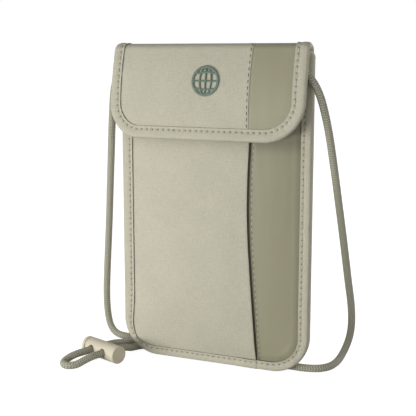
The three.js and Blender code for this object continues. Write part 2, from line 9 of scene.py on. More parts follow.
import bmesh
import bpy
import numpy as np
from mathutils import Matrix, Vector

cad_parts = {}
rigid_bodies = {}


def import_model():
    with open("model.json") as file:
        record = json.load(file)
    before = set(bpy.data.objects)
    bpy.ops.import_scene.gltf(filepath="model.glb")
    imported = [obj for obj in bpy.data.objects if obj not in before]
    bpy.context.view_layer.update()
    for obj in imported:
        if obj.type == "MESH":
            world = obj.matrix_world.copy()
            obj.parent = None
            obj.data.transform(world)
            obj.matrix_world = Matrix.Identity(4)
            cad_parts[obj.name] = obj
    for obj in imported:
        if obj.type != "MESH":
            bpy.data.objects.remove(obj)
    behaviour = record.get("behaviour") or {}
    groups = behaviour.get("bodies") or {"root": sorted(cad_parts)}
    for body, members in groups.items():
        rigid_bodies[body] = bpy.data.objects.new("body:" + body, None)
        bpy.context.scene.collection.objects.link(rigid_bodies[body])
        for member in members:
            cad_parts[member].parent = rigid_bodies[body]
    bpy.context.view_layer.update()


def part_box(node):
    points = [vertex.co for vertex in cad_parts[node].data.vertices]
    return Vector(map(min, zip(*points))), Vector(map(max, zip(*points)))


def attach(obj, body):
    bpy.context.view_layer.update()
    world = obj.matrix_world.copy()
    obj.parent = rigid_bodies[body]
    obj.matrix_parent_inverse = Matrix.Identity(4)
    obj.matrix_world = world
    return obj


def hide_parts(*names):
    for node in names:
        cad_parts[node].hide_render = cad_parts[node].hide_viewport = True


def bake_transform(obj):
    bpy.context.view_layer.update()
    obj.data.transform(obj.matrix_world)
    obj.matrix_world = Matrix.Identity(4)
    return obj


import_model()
MM = 0.001


# ---------- camera ----------
def add_camera():
    data = bpy.data.cameras.new("camera")
    data.lens = 77.9
    data.clip_start = 0.01
    camera = bpy.data.objects.new("camera", data)
    camera.location = (0.2162, -0.50457, 0.19262)
    camera.rotation_euler = (math.radians(90 - 9.64), 0, math.radians(23.59))
    bpy.context.scene.collection.objects.link(camera)
    bpy.context.scene.camera = camera


add_camera()


# ---------- sizes, from the frame where a CAD node shows them ----------
def low(node):
    return np.array(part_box(node)[0]) / MM


def high(node):
    return np.array(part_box(node)[1]) / MM


HALF_WIDTH = high("body_binding")[0]
BINDING_TOP = high("body_binding")[2]
MOUTH = high("slip_pocket_panel")[2]
BODY_CORNER = 24.0
FLAP_HALF = high("flap_binding")[0]
FLAP_BOTTOM = low("flap_binding")[2]
FLAP_CORNERS = (20.0, 25.0)  # left, right
BINDING_WIDTH = 7.0
TAPE = 0.6  # thickness
GAP = 0.3  # between two layers
EDGE_HALF = 1.7  # half of the body's thickness at its outline
PANEL = 0.6  # thickness of the body's cloth
PANEL_INSET = 1.5  # from the body's outline to the edge of each kind of layer
LINING_INSET = 12.0
FOAM_INSET = 17.0
FRONT_BULGE = 9.0
BACK_BULGE = 0.83
WIDEST_Z = 150.0  # height where the front bulges most
SEAM_X = 28.4  # seam between the light and the smooth cloth on the flap
FLAP_PANEL = 0.7
STITCH_PITCH = 3.65
STITCH_INSET = 5.15  # from the bound edge to its row of stitches, in tape of the usual width
GROOVE = 1.3  # width of the slip pocket's opening


# ---------- small maths ----------
def clamp01(value):
    return np.clip(value, 0, 1)


def smooth(value):
    value = clamp01(value)
    return value * value * (3 - 2 * value)


def bell(value, width):
    return np.exp(-((value / width) ** 2))


def stack(x, y, z):
    return np.stack(np.broadcast_arrays(x, y, z), -1).astype(float)


def unit(vectors):
    return vectors / np.maximum(np.linalg.norm(vectors, axis=-1, keepdims=True), 1e-9)


def lengths_along(points):
    return np.concatenate([[0], np.cumsum(np.linalg.norm(np.diff(points, axis=0), axis=1))])


def hermite(knots, values, at):
    """A smooth curve through values at the knots, with slopes taken from the neighbours."""
    slopes = np.gradient(values, knots)
    k = np.clip(np.searchsorted(knots, at) - 1, 0, len(knots) - 2)
    width = knots[k + 1] - knots[k]
    t = (at - knots[k]) / width
    return ((2 * t**3 - 3 * t**2 + 1) * values[k] + (t**3 - 2 * t**2 + t) * width * slopes[k]
            + (3 * t**2 - 2 * t**3) * values[k + 1] + (t**3 - t**2) * width * slopes[k + 1])


def smooth_curve(route, step, passes=0):
    """A centripetal Catmull-Rom curve through the route, resampled at an even step and eased by averaging."""
    route = np.asarray(route, float)
    route = np.vstack([2 * route[0] - route[1], route, 2 * route[-1] - route[-2]])
    found = []
    for p0, p1, p2, p3 in zip(route, route[1:], route[2:], route[3:]):
        t0 = 0.0
        t1 = t0 + np.linalg.norm(p1 - p0) ** 0.5
        t2 = t1 + np.linalg.norm(p2 - p1) ** 0.5
        t3 = t2 + np.linalg.norm(p3 - p2) ** 0.5
        t = np.linspace(t1, t2, 24, endpoint=False)[:, None]
        a1 = (t1 - t) / (t1 - t0) * p0 + (t - t0) / (t1 - t0) * p1
        a2 = (t2 - t) / (t2 - t1) * p1 + (t - t1) / (t2 - t1) * p2
        a3 = (t3 - t) / (t3 - t2) * p2 + (t - t2) / (t3 - t2) * p3
        b1 = (t2 - t) / (t2 - t0) * a1 + (t - t0) / (t2 - t0) * a2
        b2 = (t3 - t) / (t3 - t1) * a2 + (t - t1) / (t3 - t1) * a3
        found.append((t2 - t) / (t2 - t1) * b1 + (t - t1) / (t2 - t1) * b2)
    points = np.vstack([*found, route[-2:-1]])
    along = lengths_along(points)
    even = np.linspace(0, along[-1], round(along[-1] / step) + 1)
    curve = np.stack([np.interp(even, along, points[:, axis]) for axis in range(3)], -1)
    for _ in range(passes):
        curve[1:-1] = (curve[:-2] + 2 * curve[1:-1] + curve[2:]) / 4
    return curve


# ---------- mesh building ----------
def make_object(name, points, faces, uv_loops, material, crease_shade=None):
    """faces is a list of index arrays, one array for each number of corners."""
    mesh = bpy.data.meshes.new(name)
    mesh.vertices.add(len(points))
    mesh.vertices.foreach_set("co", (np.asarray(points, float) * MM).astype(np.float32).ravel())
    loops = np.concatenate([f.ravel() for f in faces])
    sizes = np.concatenate([np.full(len(f), f.shape[1]) for f in faces])
    mesh.loops.add(len(loops))
    mesh.loops.foreach_set("vertex_index", loops.astype(np.int32))
    mesh.polygons.add(len(sizes))
    mesh.polygons.foreach_set("loop_start", np.concatenate([[0], np.cumsum(sizes)[:-1]]).astype(np.int32))
    mesh.update(calc_edges=True)
    layer = mesh.uv_layers.new(name="UVMap")
    layer.data.foreach_set("uv", np.concatenate(uv_loops).astype(np.float32).ravel())
    # Painted shade for folds, openings and holes, kept on the mesh for its material.
    if crease_shade is not None:
        attribute = mesh.attributes.new("crease_shade", "FLOAT", "POINT")
        attribute.data.foreach_set("value", np.asarray(crease_shade, np.float32).ravel())
    mesh.shade_smooth()
    mesh.materials.append(material)
    made = bpy.data.objects.new(name, mesh)
    bpy.context.scene.collection.objects.link(made)
    return made


def grid_quads(rows, columns, wrap):
    across = columns if wrap else columns - 1
    r, c = np.meshgrid(np.arange(rows - 1), np.arange(across), indexing="ij")
    corners = [(r, c), (r, c + 1), (r + 1, c + 1), (r + 1, c)]
    quads = np.stack([a * columns + b % columns for a, b in corners], -1).reshape(-1, 4)
    uv_index = np.stack([a * (across + 1) + b for a, b in corners], -1).reshape(-1)
    return quads, uv_index


def outward(points, faces):
    """The faces, turned over if the closed mesh would be inside out."""
    total = 0.0
    for f in faces:
        a = points[f[:, 0]]
        for k in range(1, f.shape[1] - 1):
            total += (a * np.cross(points[f[:, k]], points[f[:, k + 1]])).sum()
    return total >= 0


def tube(name, rings, uv, material, crease_shade=None):
    """A closed solid swept through rings of points, shape (rings, around, 3), with flat ends."""
    rows, around = rings.shape[:2]
    points = rings.reshape(-1, 3)
    quads, uv_index = grid_quads(rows, around, True)
    caps = np.array([np.arange(around)[::-1], (rows - 1) * around + np.arange(around)])
    faces = [quads, caps]
    uv_flat = uv.reshape(-1, 2)
    uv_loops = [uv_flat[uv_index], np.repeat(uv_flat[[0, -1]], around, axis=0)]
    if not outward(points, faces):
        uv_loops[0] = uv_loops[0].reshape(-1, 4, 2)[:, ::-1].reshape(-1, 2)
        faces = [quads[:, ::-1], caps[:, ::-1]]
    return make_object(name, points, faces, uv_loops, material, crease_shade)


def sheet(name, outer, inner, uv, material, crease_shade=None):
    """A sheet with thickness from two grids of points, shape (rows, columns, 3), with rounded side edges."""
    rows, columns = outer.shape[:2]

    def edge_round(column, inward):
        a, b, beside = outer[:, column], inner[:, column], outer[:, inward]
        out = unit(a - beside) * np.linalg.norm(a - b, axis=1, keepdims=True)
        return [a * 0.85 + b * 0.15 + out * 0.36, (a + b) / 2 + out * 0.5, a * 0.15 + b * 0.85 + out * 0.36]

    right = [r[:, None] for r in edge_round(-1, -2)]
    left = [r[:, None] for r in edge_round(0, 1)][::-1]
    rings = np.concatenate([outer, *right, inner[:, ::-1], *left], axis=1)
    around = rings.shape[1]
    points = rings.reshape(-1, 3)
    quads, uv_index = grid_quads(rows, around, True)
    ends = []
    for row, flip in ((0, False), (rows - 1, True)):
        base = row * around
        front = base + np.arange(columns)
        back = base + columns + 3 + np.arange(columns)[::-1]
        zipped = np.stack([front[:-1], back[:-1], back[1:], front[1:]], -1)
        rims = np.array([[back[0], front[0], base + around - 1, base + around - 3],
                         [front[-1], back[-1], base + columns + 2, base + columns]])
        rims_mid = np.array([[base + around - 1, base + around - 2, base + around - 3],
                             [base + columns + 2, base + columns + 1, base + columns]])
        ends.append((zipped[:, ::-1] if flip else zipped, rims, rims_mid, flip))
    uv_ring = np.concatenate([uv, uv[:, -1:], uv[:, -1:], uv[:, -1:], uv[:, ::-1],
                              uv[:, :1], uv[:, :1], uv[:, :1], uv[:, :1]], axis=1)
    uv_points = uv_ring[:, :-1].reshape(-1, 2)
    more_quads = np.concatenate([e[0] for e in ends] + [(e[1][:, ::-1] if e[3] else e[1]) for e in ends])
    triangles = np.concatenate([(e[2][:, ::-1] if e[3] else e[2]) for e in ends])
    faces = [quads, more_quads, triangles]
    uv_loops = [uv_ring.reshape(-1, 2)[uv_index], uv_points[more_quads.ravel()], uv_points[triangles.ravel()]]
    if crease_shade is not None:
        rim = np.zeros((rows, 3))
        crease_shade = np.concatenate([crease_shade, rim, np.zeros((rows, columns)), rim], axis=1)
    made = make_object(name, points, faces, uv_loops, material, crease_shade)
    consistent_normals(made)
    return made


def consistent_normals(piece):
    mesh = bmesh.new()
    mesh.from_mesh(piece.data)
    bmesh.ops.recalc_face_normals(mesh, faces=mesh.faces)
    mesh.to_mesh(piece.data)
    mesh.free()


def frames_along(points, hint=(0, 0, 1)):
    """Tangents with two crossways directions that don't twist, carried along the curve."""
    tangents = unit(np.gradient(points, axis=0))
    side = np.cross(tangents[0], hint)
    if np.linalg.norm(side) < 1e-3:
        side = np.cross(tangents[0], (1, 0, 0))
    sides = [side / np.linalg.norm(side)]
    for tangent in tangents[1:]:
        carried = sides[-1] - tangent * np.dot(sides[-1], tangent)
        sides.append(carried / np.linalg.norm(carried))
    sides = np.array(sides)
    return tangents, sides, np.cross(sides, tangents)


def apply_modifiers(piece):
    bpy.context.view_layer.update()
    evaluated = piece.evaluated_get(bpy.context.evaluated_depsgraph_get())
    mesh = bpy.data.meshes.new_from_object(evaluated)
    piece.modifiers.clear()
    piece.data = mesh


def remesh(piece, voxel, passes):
    """Rounds a moulded piece's edges: an even remesh, then a few smoothing passes."""
    modifier = piece.modifiers.new("remesh", "REMESH")
    modifier.mode = "VOXEL"
    modifier.voxel_size = voxel * MM
    modifier.use_smooth_shade = True
    ease = piece.modifiers.new("ease", "SMOOTH")
    ease.factor = 0.5
    ease.iterations = passes
    apply_modifiers(piece)


def finish_piece(piece, slot, body, *nodes):
    """body is one body's name, or a crossing of a joint that CROSSINGS names."""
    if body in CROSSINGS:
        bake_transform(piece)
    else:
        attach(piece, body)
    if nodes:
        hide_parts(*nodes)
    return piece


CROSSINGS = {
    "back fold": ("pouch", "fold", (0, 0.0027, 0.1930), (0, 0, 0.1985)),
    "front fold": ("fold", "flap", (0, -0.0070, 0.1986), (0, -0.0110, 0.1920)),
}


# ---------- materials ----------
class Shader:
    """One procedural material, with short ways to add its nodes. UV coordinates are millimetres of cloth."""

    def __init__(self, name, color, roughness, metallic=0.0, sheen=0.0):
        self.material = bpy.data.materials.new(name)
        self.material.use_nodes = True
        self.tree = self.material.node_tree
        self.bsdf = self.tree.nodes["Principled BSDF"]
        self.color = (*color, 1)
        self.set("Base Color", self.color)
        self.set("Roughness", roughness)
        self.set("Metallic", metallic)
        if sheen:
            self.set("Sheen Weight", sheen)
            self.set("Sheen Roughness", 0.45)

    def set(self, socket, value):
        self.plug(self.bsdf.inputs[socket], value)

    def plug(self, socket, value):
        if isinstance(value, bpy.types.NodeSocket):
            self.tree.links.new(value, socket)
        else:
            socket.default_value = value

    def node(self, kind, inputs=(), **settings):
        node = self.tree.nodes.new(kind)
        for key, value in settings.items():
            setattr(node, key, value)
        for key, value in dict(inputs).items():
            self.plug(node.inputs[key], value)
        return node

    def uv(self, scale=(1, 1, 1)):
        if not hasattr(self, "uv_socket"):
            self.uv_socket = self.node("ShaderNodeUVMap", uv_map="UVMap").outputs["UV"]
        return self.scaled(self.uv_socket, scale)

    def place(self, scale=(1, 1, 1)):
        """Position on the object, in millimetres."""
        if not hasattr(self, "place_socket"):
            source = self.node("ShaderNodeTexCoord").outputs["Object"]
            self.place_socket = self.scaled(source, (1000, 1000, 1000))
        return self.scaled(self.place_socket, scale)

    def scaled(self, vector, scale):
        if tuple(scale) == (1, 1, 1):
            return vector
        return self.node("ShaderNodeVectorMath", {0: vector, 1: scale}, operation="MULTIPLY").outputs[0]

    def parts(self, vector):
        return self.node("ShaderNodeSeparateXYZ", {0: vector}).outputs

    def math(self, operation, a, b=0.0, c=0.0):
        return self.node("ShaderNodeMath", {0: a, 1: b, 2: c}, operation=operation).outputs[0]

    def times(self, a, b):
        return self.math("MULTIPLY", a, b)

    def sine(self, value):
        return self.math("SINE", value)

    def noise(self, vector, scale, detail, roughness):
        values = {"Vector": vector, "Scale": scale, "Detail": detail, "Roughness": roughness}
        return self.node("ShaderNodeTexNoise", values).outputs["Fac"]

    def streaks(self, across, along, detail, roughness):
        """Noise stretched over the cloth, with its own scale in each direction."""
        return self.noise(self.uv((across, along, 1)), 1.0, detail, roughness)

    def cells(self, vector, scale):
        return self.node("ShaderNodeTexVoronoi", {"Vector": vector, "Scale": scale}).outputs["Distance"]

    def remap(self, value, low_in, high_in, low_out, high_out):
        values = {0: value, 1: low_in, 2: high_in, 3: low_out, 4: high_out}
        return self.node("ShaderNodeMapRange", values).outputs[0]

    def mix(self, factor, a, b, blend="MIX"):
        node = self.node("ShaderNodeMix", data_type="RGBA", blend_type=blend)
        self.plug(node.inputs[0], factor)
        self.plug(node.inputs[6], a)
        self.plug(node.inputs[7], b)
        return node.outputs[2]

    def shade(self, color, factor):
        """The colour, made darker or lighter by a grey factor."""
        grey = self.node("ShaderNodeCombineXYZ", {0: factor, 1: factor, 2: factor}).outputs[0]
        return self.mix(1.0, color, grey, "MULTIPLY")

    def toned(self, *tones):
        """The material's colour times each tone: a pattern, its range and the range that it becomes."""
        factor = self.remap(*tones[0])
        for tone in tones[1:]:
            factor = self.times(factor, self.remap(*tone))
        return self.shade(self.color, factor)

    def painted_crease_shade(self, color, depth=0.7):
        """Painted shade: darker where the mesh's painted-shade attribute says that the surface turns into a
        fold or a hole.
        """
        crease_shade = self.node("ShaderNodeAttribute", attribute_name="crease_shade").outputs["Fac"]
        return self.shade(color, self.remap(crease_shade, 0.0, 1.0, 1.0, 1 - depth))

    def bump(self, height, distance, strength=1.0, under=None):
        values = {"Height": height, "Distance": distance * MM, "Strength": strength}
        if under is not None:
            values["Normal"] = under
        return self.node("ShaderNodeBump", values).outputs[0]

    def finished(self, color, normal=None, roughness=None):
        """The material, with the sockets that its patterns drive."""
        for socket, value in (("Base Color", color), ("Normal", normal), ("Roughness", roughness)):
            if value is not None:
                self.set(socket, value)
        return self.material


def rgb(red, green, blue):
    """A colour given as screen values, in linear light."""
    return tuple((c / 12.92 if c <= 0.04045 else ((c + 0.055) / 1.055) ** 2.4)
                 for c in (red / 255, green / 255, blue / 255))


def weave(shader, pitch):
    """Height of a plain weave, and which thread is on top: 1 for the upright one, 0 for the one across."""
    u, v, _ = shader.parts(shader.uv((math.pi / pitch, math.pi / pitch, 1)))
    across, up = shader.sine(u), shader.sine(v)
    over = shader.times(across, up)
    warp_top = shader.remap(over, -0.35, 0.35, 0.0, 1.0)
    warp = shader.times(shader.math("ABSOLUTE", across), shader.remap(over, -1, 1, 0.2, 1.0))
    weft = shader.times(shader.math("ABSOLUTE", up), shader.remap(over, -1, 1, 1.0, 0.2))
    return shader.math("MAXIMUM", warp, weft), warp_top


def woven_fabric(name, color, pitch, contrast, roughness, sheen, depth):
    """Heathered cloth: each thread keeps its own shade for a few millimetres, with slubs and a soft nap."""
    shader = Shader(name, color, roughness, sheen=sheen)
    height, warp_top = weave(shader, pitch)
    warp_shade = shader.streaks(0.75 / pitch, 0.22, 2.0, 0.6)
    weft_shade = shader.streaks(0.2, 0.75 / pitch, 2.0, 0.6)
    thread_shade = shader.math("ADD", shader.times(warp_shade, warp_top),
                               shader.times(weft_shade, shader.math("SUBTRACT", 1.0, warp_top)))
    flecks = shader.noise(shader.uv(), 1.25, 3.0, 0.65)
    blotches = shader.noise(shader.uv(), 0.045, 3.0, 0.5)
    total = shader.math("MULTIPLY_ADD", thread_shade, 0.55, shader.times(flecks, 0.45))
    heather = shader.toned((total, 0.3, 0.7, 1 - contrast, 1 + contrast),
                           (blotches, 0.35, 0.65, 0.975, 1.025), (height, 0.0, 1.0, 0.9, 1.04))
    coarse = shader.bump(shader.streaks(0.25, 2.2, 2.0, 0.5), 0.10, 0.5)
    return shader.finished(shader.painted_crease_shade(heather), shader.bump(height, depth, 0.8, coarse),
                           shader.remap(flecks, 0.3, 0.7, roughness - 0.06, roughness + 0.04))


def coated_fabric(name, color, roughness):
    """Tight coated cloth: satin, with a fine rib and soft vertical bands."""
    shader = Shader(name, color, roughness, sheen=0.12)
    u, v, _ = shader.parts(shader.uv((2 * math.pi / 0.32, 2 * math.pi / 0.32, 1)))
    rib = shader.sine(shader.math("ADD", u, shader.times(v, 0.5)))
    bands = shader.streaks(0.11, 0.012, 3.0, 0.55)
    grain = shader.noise(shader.uv(), 2.2, 2.0, 0.6)
    scuffs = shader.streaks(0.5, 0.05, 4.0, 0.7)
    banded = shader.toned((bands, 0.3, 0.7, 0.98, 1.02), (grain, 0.3, 0.7, 0.975, 1.025))
    wide = shader.bump(bands, 0.5, 0.25)
    return shader.finished(shader.painted_crease_shade(banded), shader.bump(rib, 0.018, 0.6, wide),
                           shader.remap(scuffs, 0.35, 0.7, roughness - 0.05, roughness + 0.09))


def braid_material(name, color):
    """Round braid: slanting yarns that meet in rows of chevrons, each yarn made of fine filaments."""
    shader = Shader(name, color, 0.8, sheen=0.15)
    around, along, _ = shader.parts(shader.uv())
    slant = shader.math("PINGPONG", shader.times(around, BRAID_ROWS), 0.5)
    yarn = shader.math("MULTIPLY_ADD", slant, 2 * BRAID_SLANT, shader.math("DIVIDE", along, BRAID_STEP))
    ridge = shader.math("ABSOLUTE", shader.sine(shader.times(yarn, math.pi)))
    seam = shader.sine(shader.times(slant, 2 * math.pi))
    fibres = shader.sine(shader.times(yarn, 8 * math.pi))
    mottling = shader.streaks(9.0, 0.8, 3.0, 0.6)
    over = shader.bump(shader.times(ridge, shader.remap(seam, 0.0, 0.5, 0.4, 1.0)), 0.25, 0.8)
    # The colour is partly painted shade: darker in the grooves between yarns and where the chevron rows meet,
    # on top of the yarns' own mottling.
    return shader.finished(shader.toned((ridge, 0.0, 0.75, 0.3, 1.2), (seam, 0.0, 0.45, 0.62, 1.0),
                                        (mottling, 0.3, 0.7, 0.92, 1.08), (fibres, -1.0, 1.0, 0.95, 1.03)),
                           shader.bump(fibres, 0.03, 0.6, over))


def thread_material(name, color):
    shader = Shader(name, color, 0.6, sheen=0.2)
    u, v, _ = shader.parts(shader.uv())
    twist = shader.sine(shader.math("ADD", shader.times(u, 6.28), shader.times(v, 12.0)))
    return shader.finished(shader.toned((twist, -1.0, 1.0, 0.86, 1.06)), shader.bump(twist, 0.05, 0.7))


def lining_material(name, color):
    shader = Shader(name, color, 0.62, sheen=0.15)
    height, _ = weave(shader, 0.26)
    folds = shader.streaks(0.05, 0.03, 3.0, 0.6)
    return shader.finished(shader.painted_crease_shade(shader.toned((folds, 0.3, 0.7, 0.93, 1.06))),
                           shader.bump(height, 0.03, 0.6, shader.bump(folds, 1.6, 0.5)))


def foam_material(name, color):
    shader = Shader(name, color, 0.95)
    pores = shader.cells(shader.place(), 1.6)
    return shader.finished(shader.toned((pores, 0.0, 0.6, 0.7, 1.05)), shader.bump(pores, 0.25, 0.8))


def film_material(name, color):
    shader = Shader(name, color, 0.28, metallic=0.85)
    crinkles = shader.cells(shader.uv((0.12, 0.09, 1)), 1.0)
    fine = shader.noise(shader.uv(), 0.4, 4.0, 0.7)
    return shader.finished(shader.toned((fine, 0.3, 0.7, 0.92, 1.05)), shader.bump(crinkles, 0.8, 0.5),
                           shader.remap(fine, 0.3, 0.7, 0.22, 0.4))


def pile_material(name, color, size):
    """The fuzzy face of a hook-and-loop patch."""
    shader = Shader(name, color, 0.95, sheen=0.5)
    loops = shader.cells(shader.uv(), size)
    fuzz = shader.noise(shader.uv(), 2.6, 4.0, 0.7)
    return shader.finished(shader.toned((loops, 0.0, 0.6, 1.15, 0.65), (fuzz, 0.3, 0.7, 0.85, 1.15)),
                           shader.bump(shader.math("ADD", fuzz, loops), 0.4, 0.9))


def moulded_material(name, color, roughness, texture):
    """Moulded plastic or rubber: a fine spark texture with slightly worn, smoother high spots."""
    shader = Shader(name, color, roughness)
    spark = shader.noise(shader.place(), texture, 3.0, 0.6)
    cloud = shader.noise(shader.place(), 0.12, 2.0, 0.5)
    return shader.finished(shader.toned((cloud, 0.3, 0.7, 0.97, 1.03)), shader.bump(spark, 0.03, 0.6),
                           shader.remap(spark, 0.3, 0.7, roughness - 0.07, roughness + 0.07))


def steel_material(name, color):
    shader = Shader(name, color, 0.28, metallic=1.0)
    drawn = shader.streaks(20, 1, 3.0, 0.6)
    return shader.finished(shader.toned((drawn, 0.3, 0.7, 0.88, 1.0)),
                           roughness=shader.remap(drawn, 0.3, 0.7, 0.2, 0.38))


BRAID_ROWS = 6  # rows of chevrons around the cord
BRAID_STEP = 1.5  # from one yarn to the next, along the cord
BRAID_SLANT = 0.55  # how far a yarn runs along within its row, in steps
LIGHT = woven_fabric("light heather fabric", rgb(190, 186, 167), 0.42, 0.2, 0.88, 0.1, 0.05)
TAPE_CLOTH = woven_fabric("binding tape", rgb(190, 186, 166), 0.45, 0.16, 0.86, 0.1, 0.05)
SMOOTH = coated_fabric("smooth coated fabric", rgb(155, 151, 125), 0.5)
LINING = lining_material("lining cloth", rgb(146, 143, 124))
FOAM = foam_material("foam", rgb(214, 211, 200))
FILM = film_material("blocking film", rgb(190, 193, 197))
LOOP_PILE = pile_material("loop pile", rgb(128, 125, 106), 1.1)
HOOK_PILE = pile_material("hook pile", rgb(120, 118, 100), 0.8)
THREAD = thread_material("light thread", rgb(200, 197, 178))
DARK_THREAD = thread_material("dark thread", rgb(92, 88, 70))
BRAID = braid_material("cord braid", rgb(176, 173, 153))
RUBBER = moulded_material("badge rubber", rgb(104, 122, 108), 0.6, 2.0)
PLASTIC = moulded_material("lock plastic", rgb(214, 205, 182), 0.55, 2.4)
SPRING_STEEL = steel_material("spring steel", (0.6, 0.6, 0.6))


# ---------- shape of the body ----------
def inset_of(x, z):
    """Distance in from the body's outline."""
    beyond_x = np.abs(x) - (HALF_WIDTH - BODY_CORNER)
    beyond_z = BODY_CORNER - z
    in_corner = (beyond_x > 0) & (beyond_z > 0)
    straight = np.minimum(HALF_WIDTH - np.abs(x), z)
    return np.where(in_corner, BODY_CORNER - np.hypot(beyond_x, beyond_z), straight)


def half_width_at(z, inset):
    radius = max(BODY_CORNER - inset, 0)
    rise = np.clip(BODY_CORNER - z, 0, radius)
    bend = HALF_WIDTH - BODY_CORNER + np.sqrt(radius**2 - rise**2)
    return np.where((z < BODY_CORNER) & (radius > 0), bend, HALF_WIDTH - inset)


def bulge_at(z):
    lower = 0.78 + 0.22 * np.sin((math.pi / 2) * (z / WIDEST_Z))
    upper = 1 - 0.23 * ((z - WIDEST_Z) / 32) ** 2
    return np.where(z < WIDEST_Z, lower, np.maximum(upper, 0.5))


def crown(x, z, power, reach):
    """0 at the binding's inner edge, 1 well inside: eased in from the sides and from the bottom."""
    def ease(distance):
        return np.maximum(1 - (1 - clamp01((distance - BINDING_WIDTH) / reach)) ** power, 1e-3)
    side = ease(HALF_WIDTH - np.abs(x))
    bottom = ease(z)
    return (side**-2 + bottom**-2 - 1) ** -0.5


def front_level(x, z):
    flat = EDGE_HALF + 0.12 * np.clip(inset_of(x, z), 0, BINDING_WIDTH)
    return flat + FRONT_BULGE * bulge_at(z) * crown(x, z, 2.6, HALF_WIDTH - BINDING_WIDTH)


def back_level(x, z):
    inset = inset_of(x, z)
    flat = EDGE_HALF + 0.06 * np.clip(inset, 0, BINDING_WIDTH)
    return flat + BACK_BULGE * smooth((inset - BINDING_WIDTH) / 10)


def creep(x, z):
    """The slight unevenness of sewn cloth, in millimetres."""
    slow = 0.16 * np.sin(x / 11 + 1.1 * np.sin(z / 37)) * np.sin(z / 43 + 0.6)
    drag = 0.10 * np.sin(x / 5.3 + z / 61) * np.cos(z / 29 - x / 47)
    inset = inset_of(x, z)
    beside_side = HALF_WIDTH - np.abs(x) < z
    along = np.where(beside_side, z, x)
    fade = np.exp(-clamp01((inset - BINDING_WIDTH) / 9) * 3)
    pull = 0.10 * np.sin(2 * math.pi * along / (2 * STITCH_PITCH)) * fade
    return (slow + drag) * smooth((inset - BINDING_WIDTH) / 9) + pull * smooth((inset - 6) / 3)


def pocket_edge(z):
    """The slip pocket's free edge, which bows inwards below the flap."""
    above = ((z - 104) / 34) ** 2
    below = 1.85 * (1 - np.cos(math.pi * clamp01((104 - z) / 88)))
    return 25.6 + np.where(z > 104, above, below)


def pocket_room(x, z):
    return 0.8 * clamp01((inset_of(x, z) - BINDING_WIDTH) / 4.2)


def foam_share(x, z):
    return clamp01((inset_of(x, z) - LINING_INSET) / 3.0)


def smooth_panel_depth(x, z):
    """Below the slip pocket it lies deeper. Right of the opening it comes up level, with a rounded fold."""
    beyond = x - pocket_edge(z) - GROOVE
    raised = smooth((beyond + 0.55) / 0.75)
    deep = PANEL + GAP + pocket_room(x, z)
    stitch_dip = 0.28 * bell(x - pocket_edge(z) - GROOVE - 1.1, 0.6)
    return deep - 0.85 * raised * clamp01((inset_of(x, z) - BINDING_WIDTH) / 3) + stitch_dip


def front_foam_depth(x, z):
    return PANEL + GAP + pocket_room(x, z) + PANEL + GAP


def front_lining_depth(x, z):
    top_fade = 1 - clamp01((z - high("front_foam")[2]) / 3.5)
    return front_foam_depth(x, z) + 1.3 * foam_share(x, z) * top_fade


BACK_FOAM_DEPTH = PANEL + GAP
FILM_DEPTH = BACK_FOAM_DEPTH + 1.0 + GAP


def back_lining_depth(x, z):
    return BACK_FOAM_DEPTH + (1.3 + 0.2 + GAP) * foam_share(x, z)


def spaced(start, stop, step):
    return np.linspace(start, stop, max(2, round(abs(stop - start) / step) + 1))


def body_layer(name, side, inset, top, depth, thickness, material, step=2.6, columns=None, crease_shade=None):
    """One layer of the body. columns(z) gives the x places of a row; without it the layer fills its inset."""
    zs = spaced(inset, top, step)
    if columns is None:
        shares = spaced(-1, 1, step / (HALF_WIDTH - inset))
        x = half_width_at(zs, inset)[:, None] * shares[None]
    else:
        x = columns(zs)
    z = np.broadcast_to(zs[:, None], x.shape)
    level = (front_level if side < 0 else back_level)(x, z) + creep(x, z)
    down = depth(x, z) if callable(depth) else depth
    outer = stack(x, side * (level - down), z)
    inner = stack(x, side * (level - down - thickness), z)
    # The painted shade that this layer's cloth gets, if any.
    painted_shade = None if crease_shade is None else crease_shade(x, z)
    return sheet(name, outer, inner, np.stack([x, z], -1), material, painted_shade)


# ---------- back of the body ----------
FINE = 1.2
finish_piece(body_layer("back_panel_fabric", 1, PANEL_INSET, BINDING_TOP, 0, PANEL, LIGHT, FINE),
             "light_fabric", "pouch", "back_panel")
back_pad = finish_piece(body_layer("back_foam_pad", 1, FOAM_INSET, high("back_foam")[2], BACK_FOAM_DEPTH,
                                   1.0, FOAM), "foam", "pouch", "back_foam")
finish_piece(body_layer("blocking_film_sheet", 1, FOAM_INSET, high("blocking_film")[2], FILM_DEPTH,
                        0.2, FILM), "blocking_film", "pouch", "blocking_film")
finish_piece(body_layer("back_lining_cloth", 1, LINING_INSET, high("back_lining")[2], back_lining_depth,
                        0.3, LINING), "lining", "pouch", "back_lining")


def divider():
    """A flat card pocket's panel, with a rounded lower edge and a hemmed top."""
    corner_low, corner_high = low("divider_panel"), high("divider_panel")
    half, bottom, top = corner_high[0], corner_low[2], corner_high[2]
    zs = spaced(bottom, top, 2.4)
    radius = 4.0
    rise = np.clip(bottom + radius - zs, 0, radius)
    widths = half - radius + np.sqrt(radius**2 - rise**2)
    x = widths[:, None] * spaced(-1, 1, 2.4 / half)[None]
    z = np.broadcast_to(zs[:, None], x.shape)
    middle = (corner_low[1] + corner_high[1]) / 2
    thick = 0.15 + 0.08 * smooth((z - top + 5.2) / 0.8)
    return sheet("divider_cloth", stack(x, middle - thick, z), stack(x, middle + thick, z),
                 np.stack([x, z], -1), LINING)


finish_piece(divider(), "lining", "pouch", "divider_panel")


# ---------- front of the body ----------
def pocket_columns(inset, back_off, step):
    """Rows that run from the left outline to the slip pocket's free edge."""
    def columns(zs):
        left = -half_width_at(zs, inset)
        right = pocket_edge(zs) - back_off
        shares = spaced(0, 1, step / (HALF_WIDTH + 24))
        return left[:, None] + (right - left)[:, None] * shares[None]
    return columns


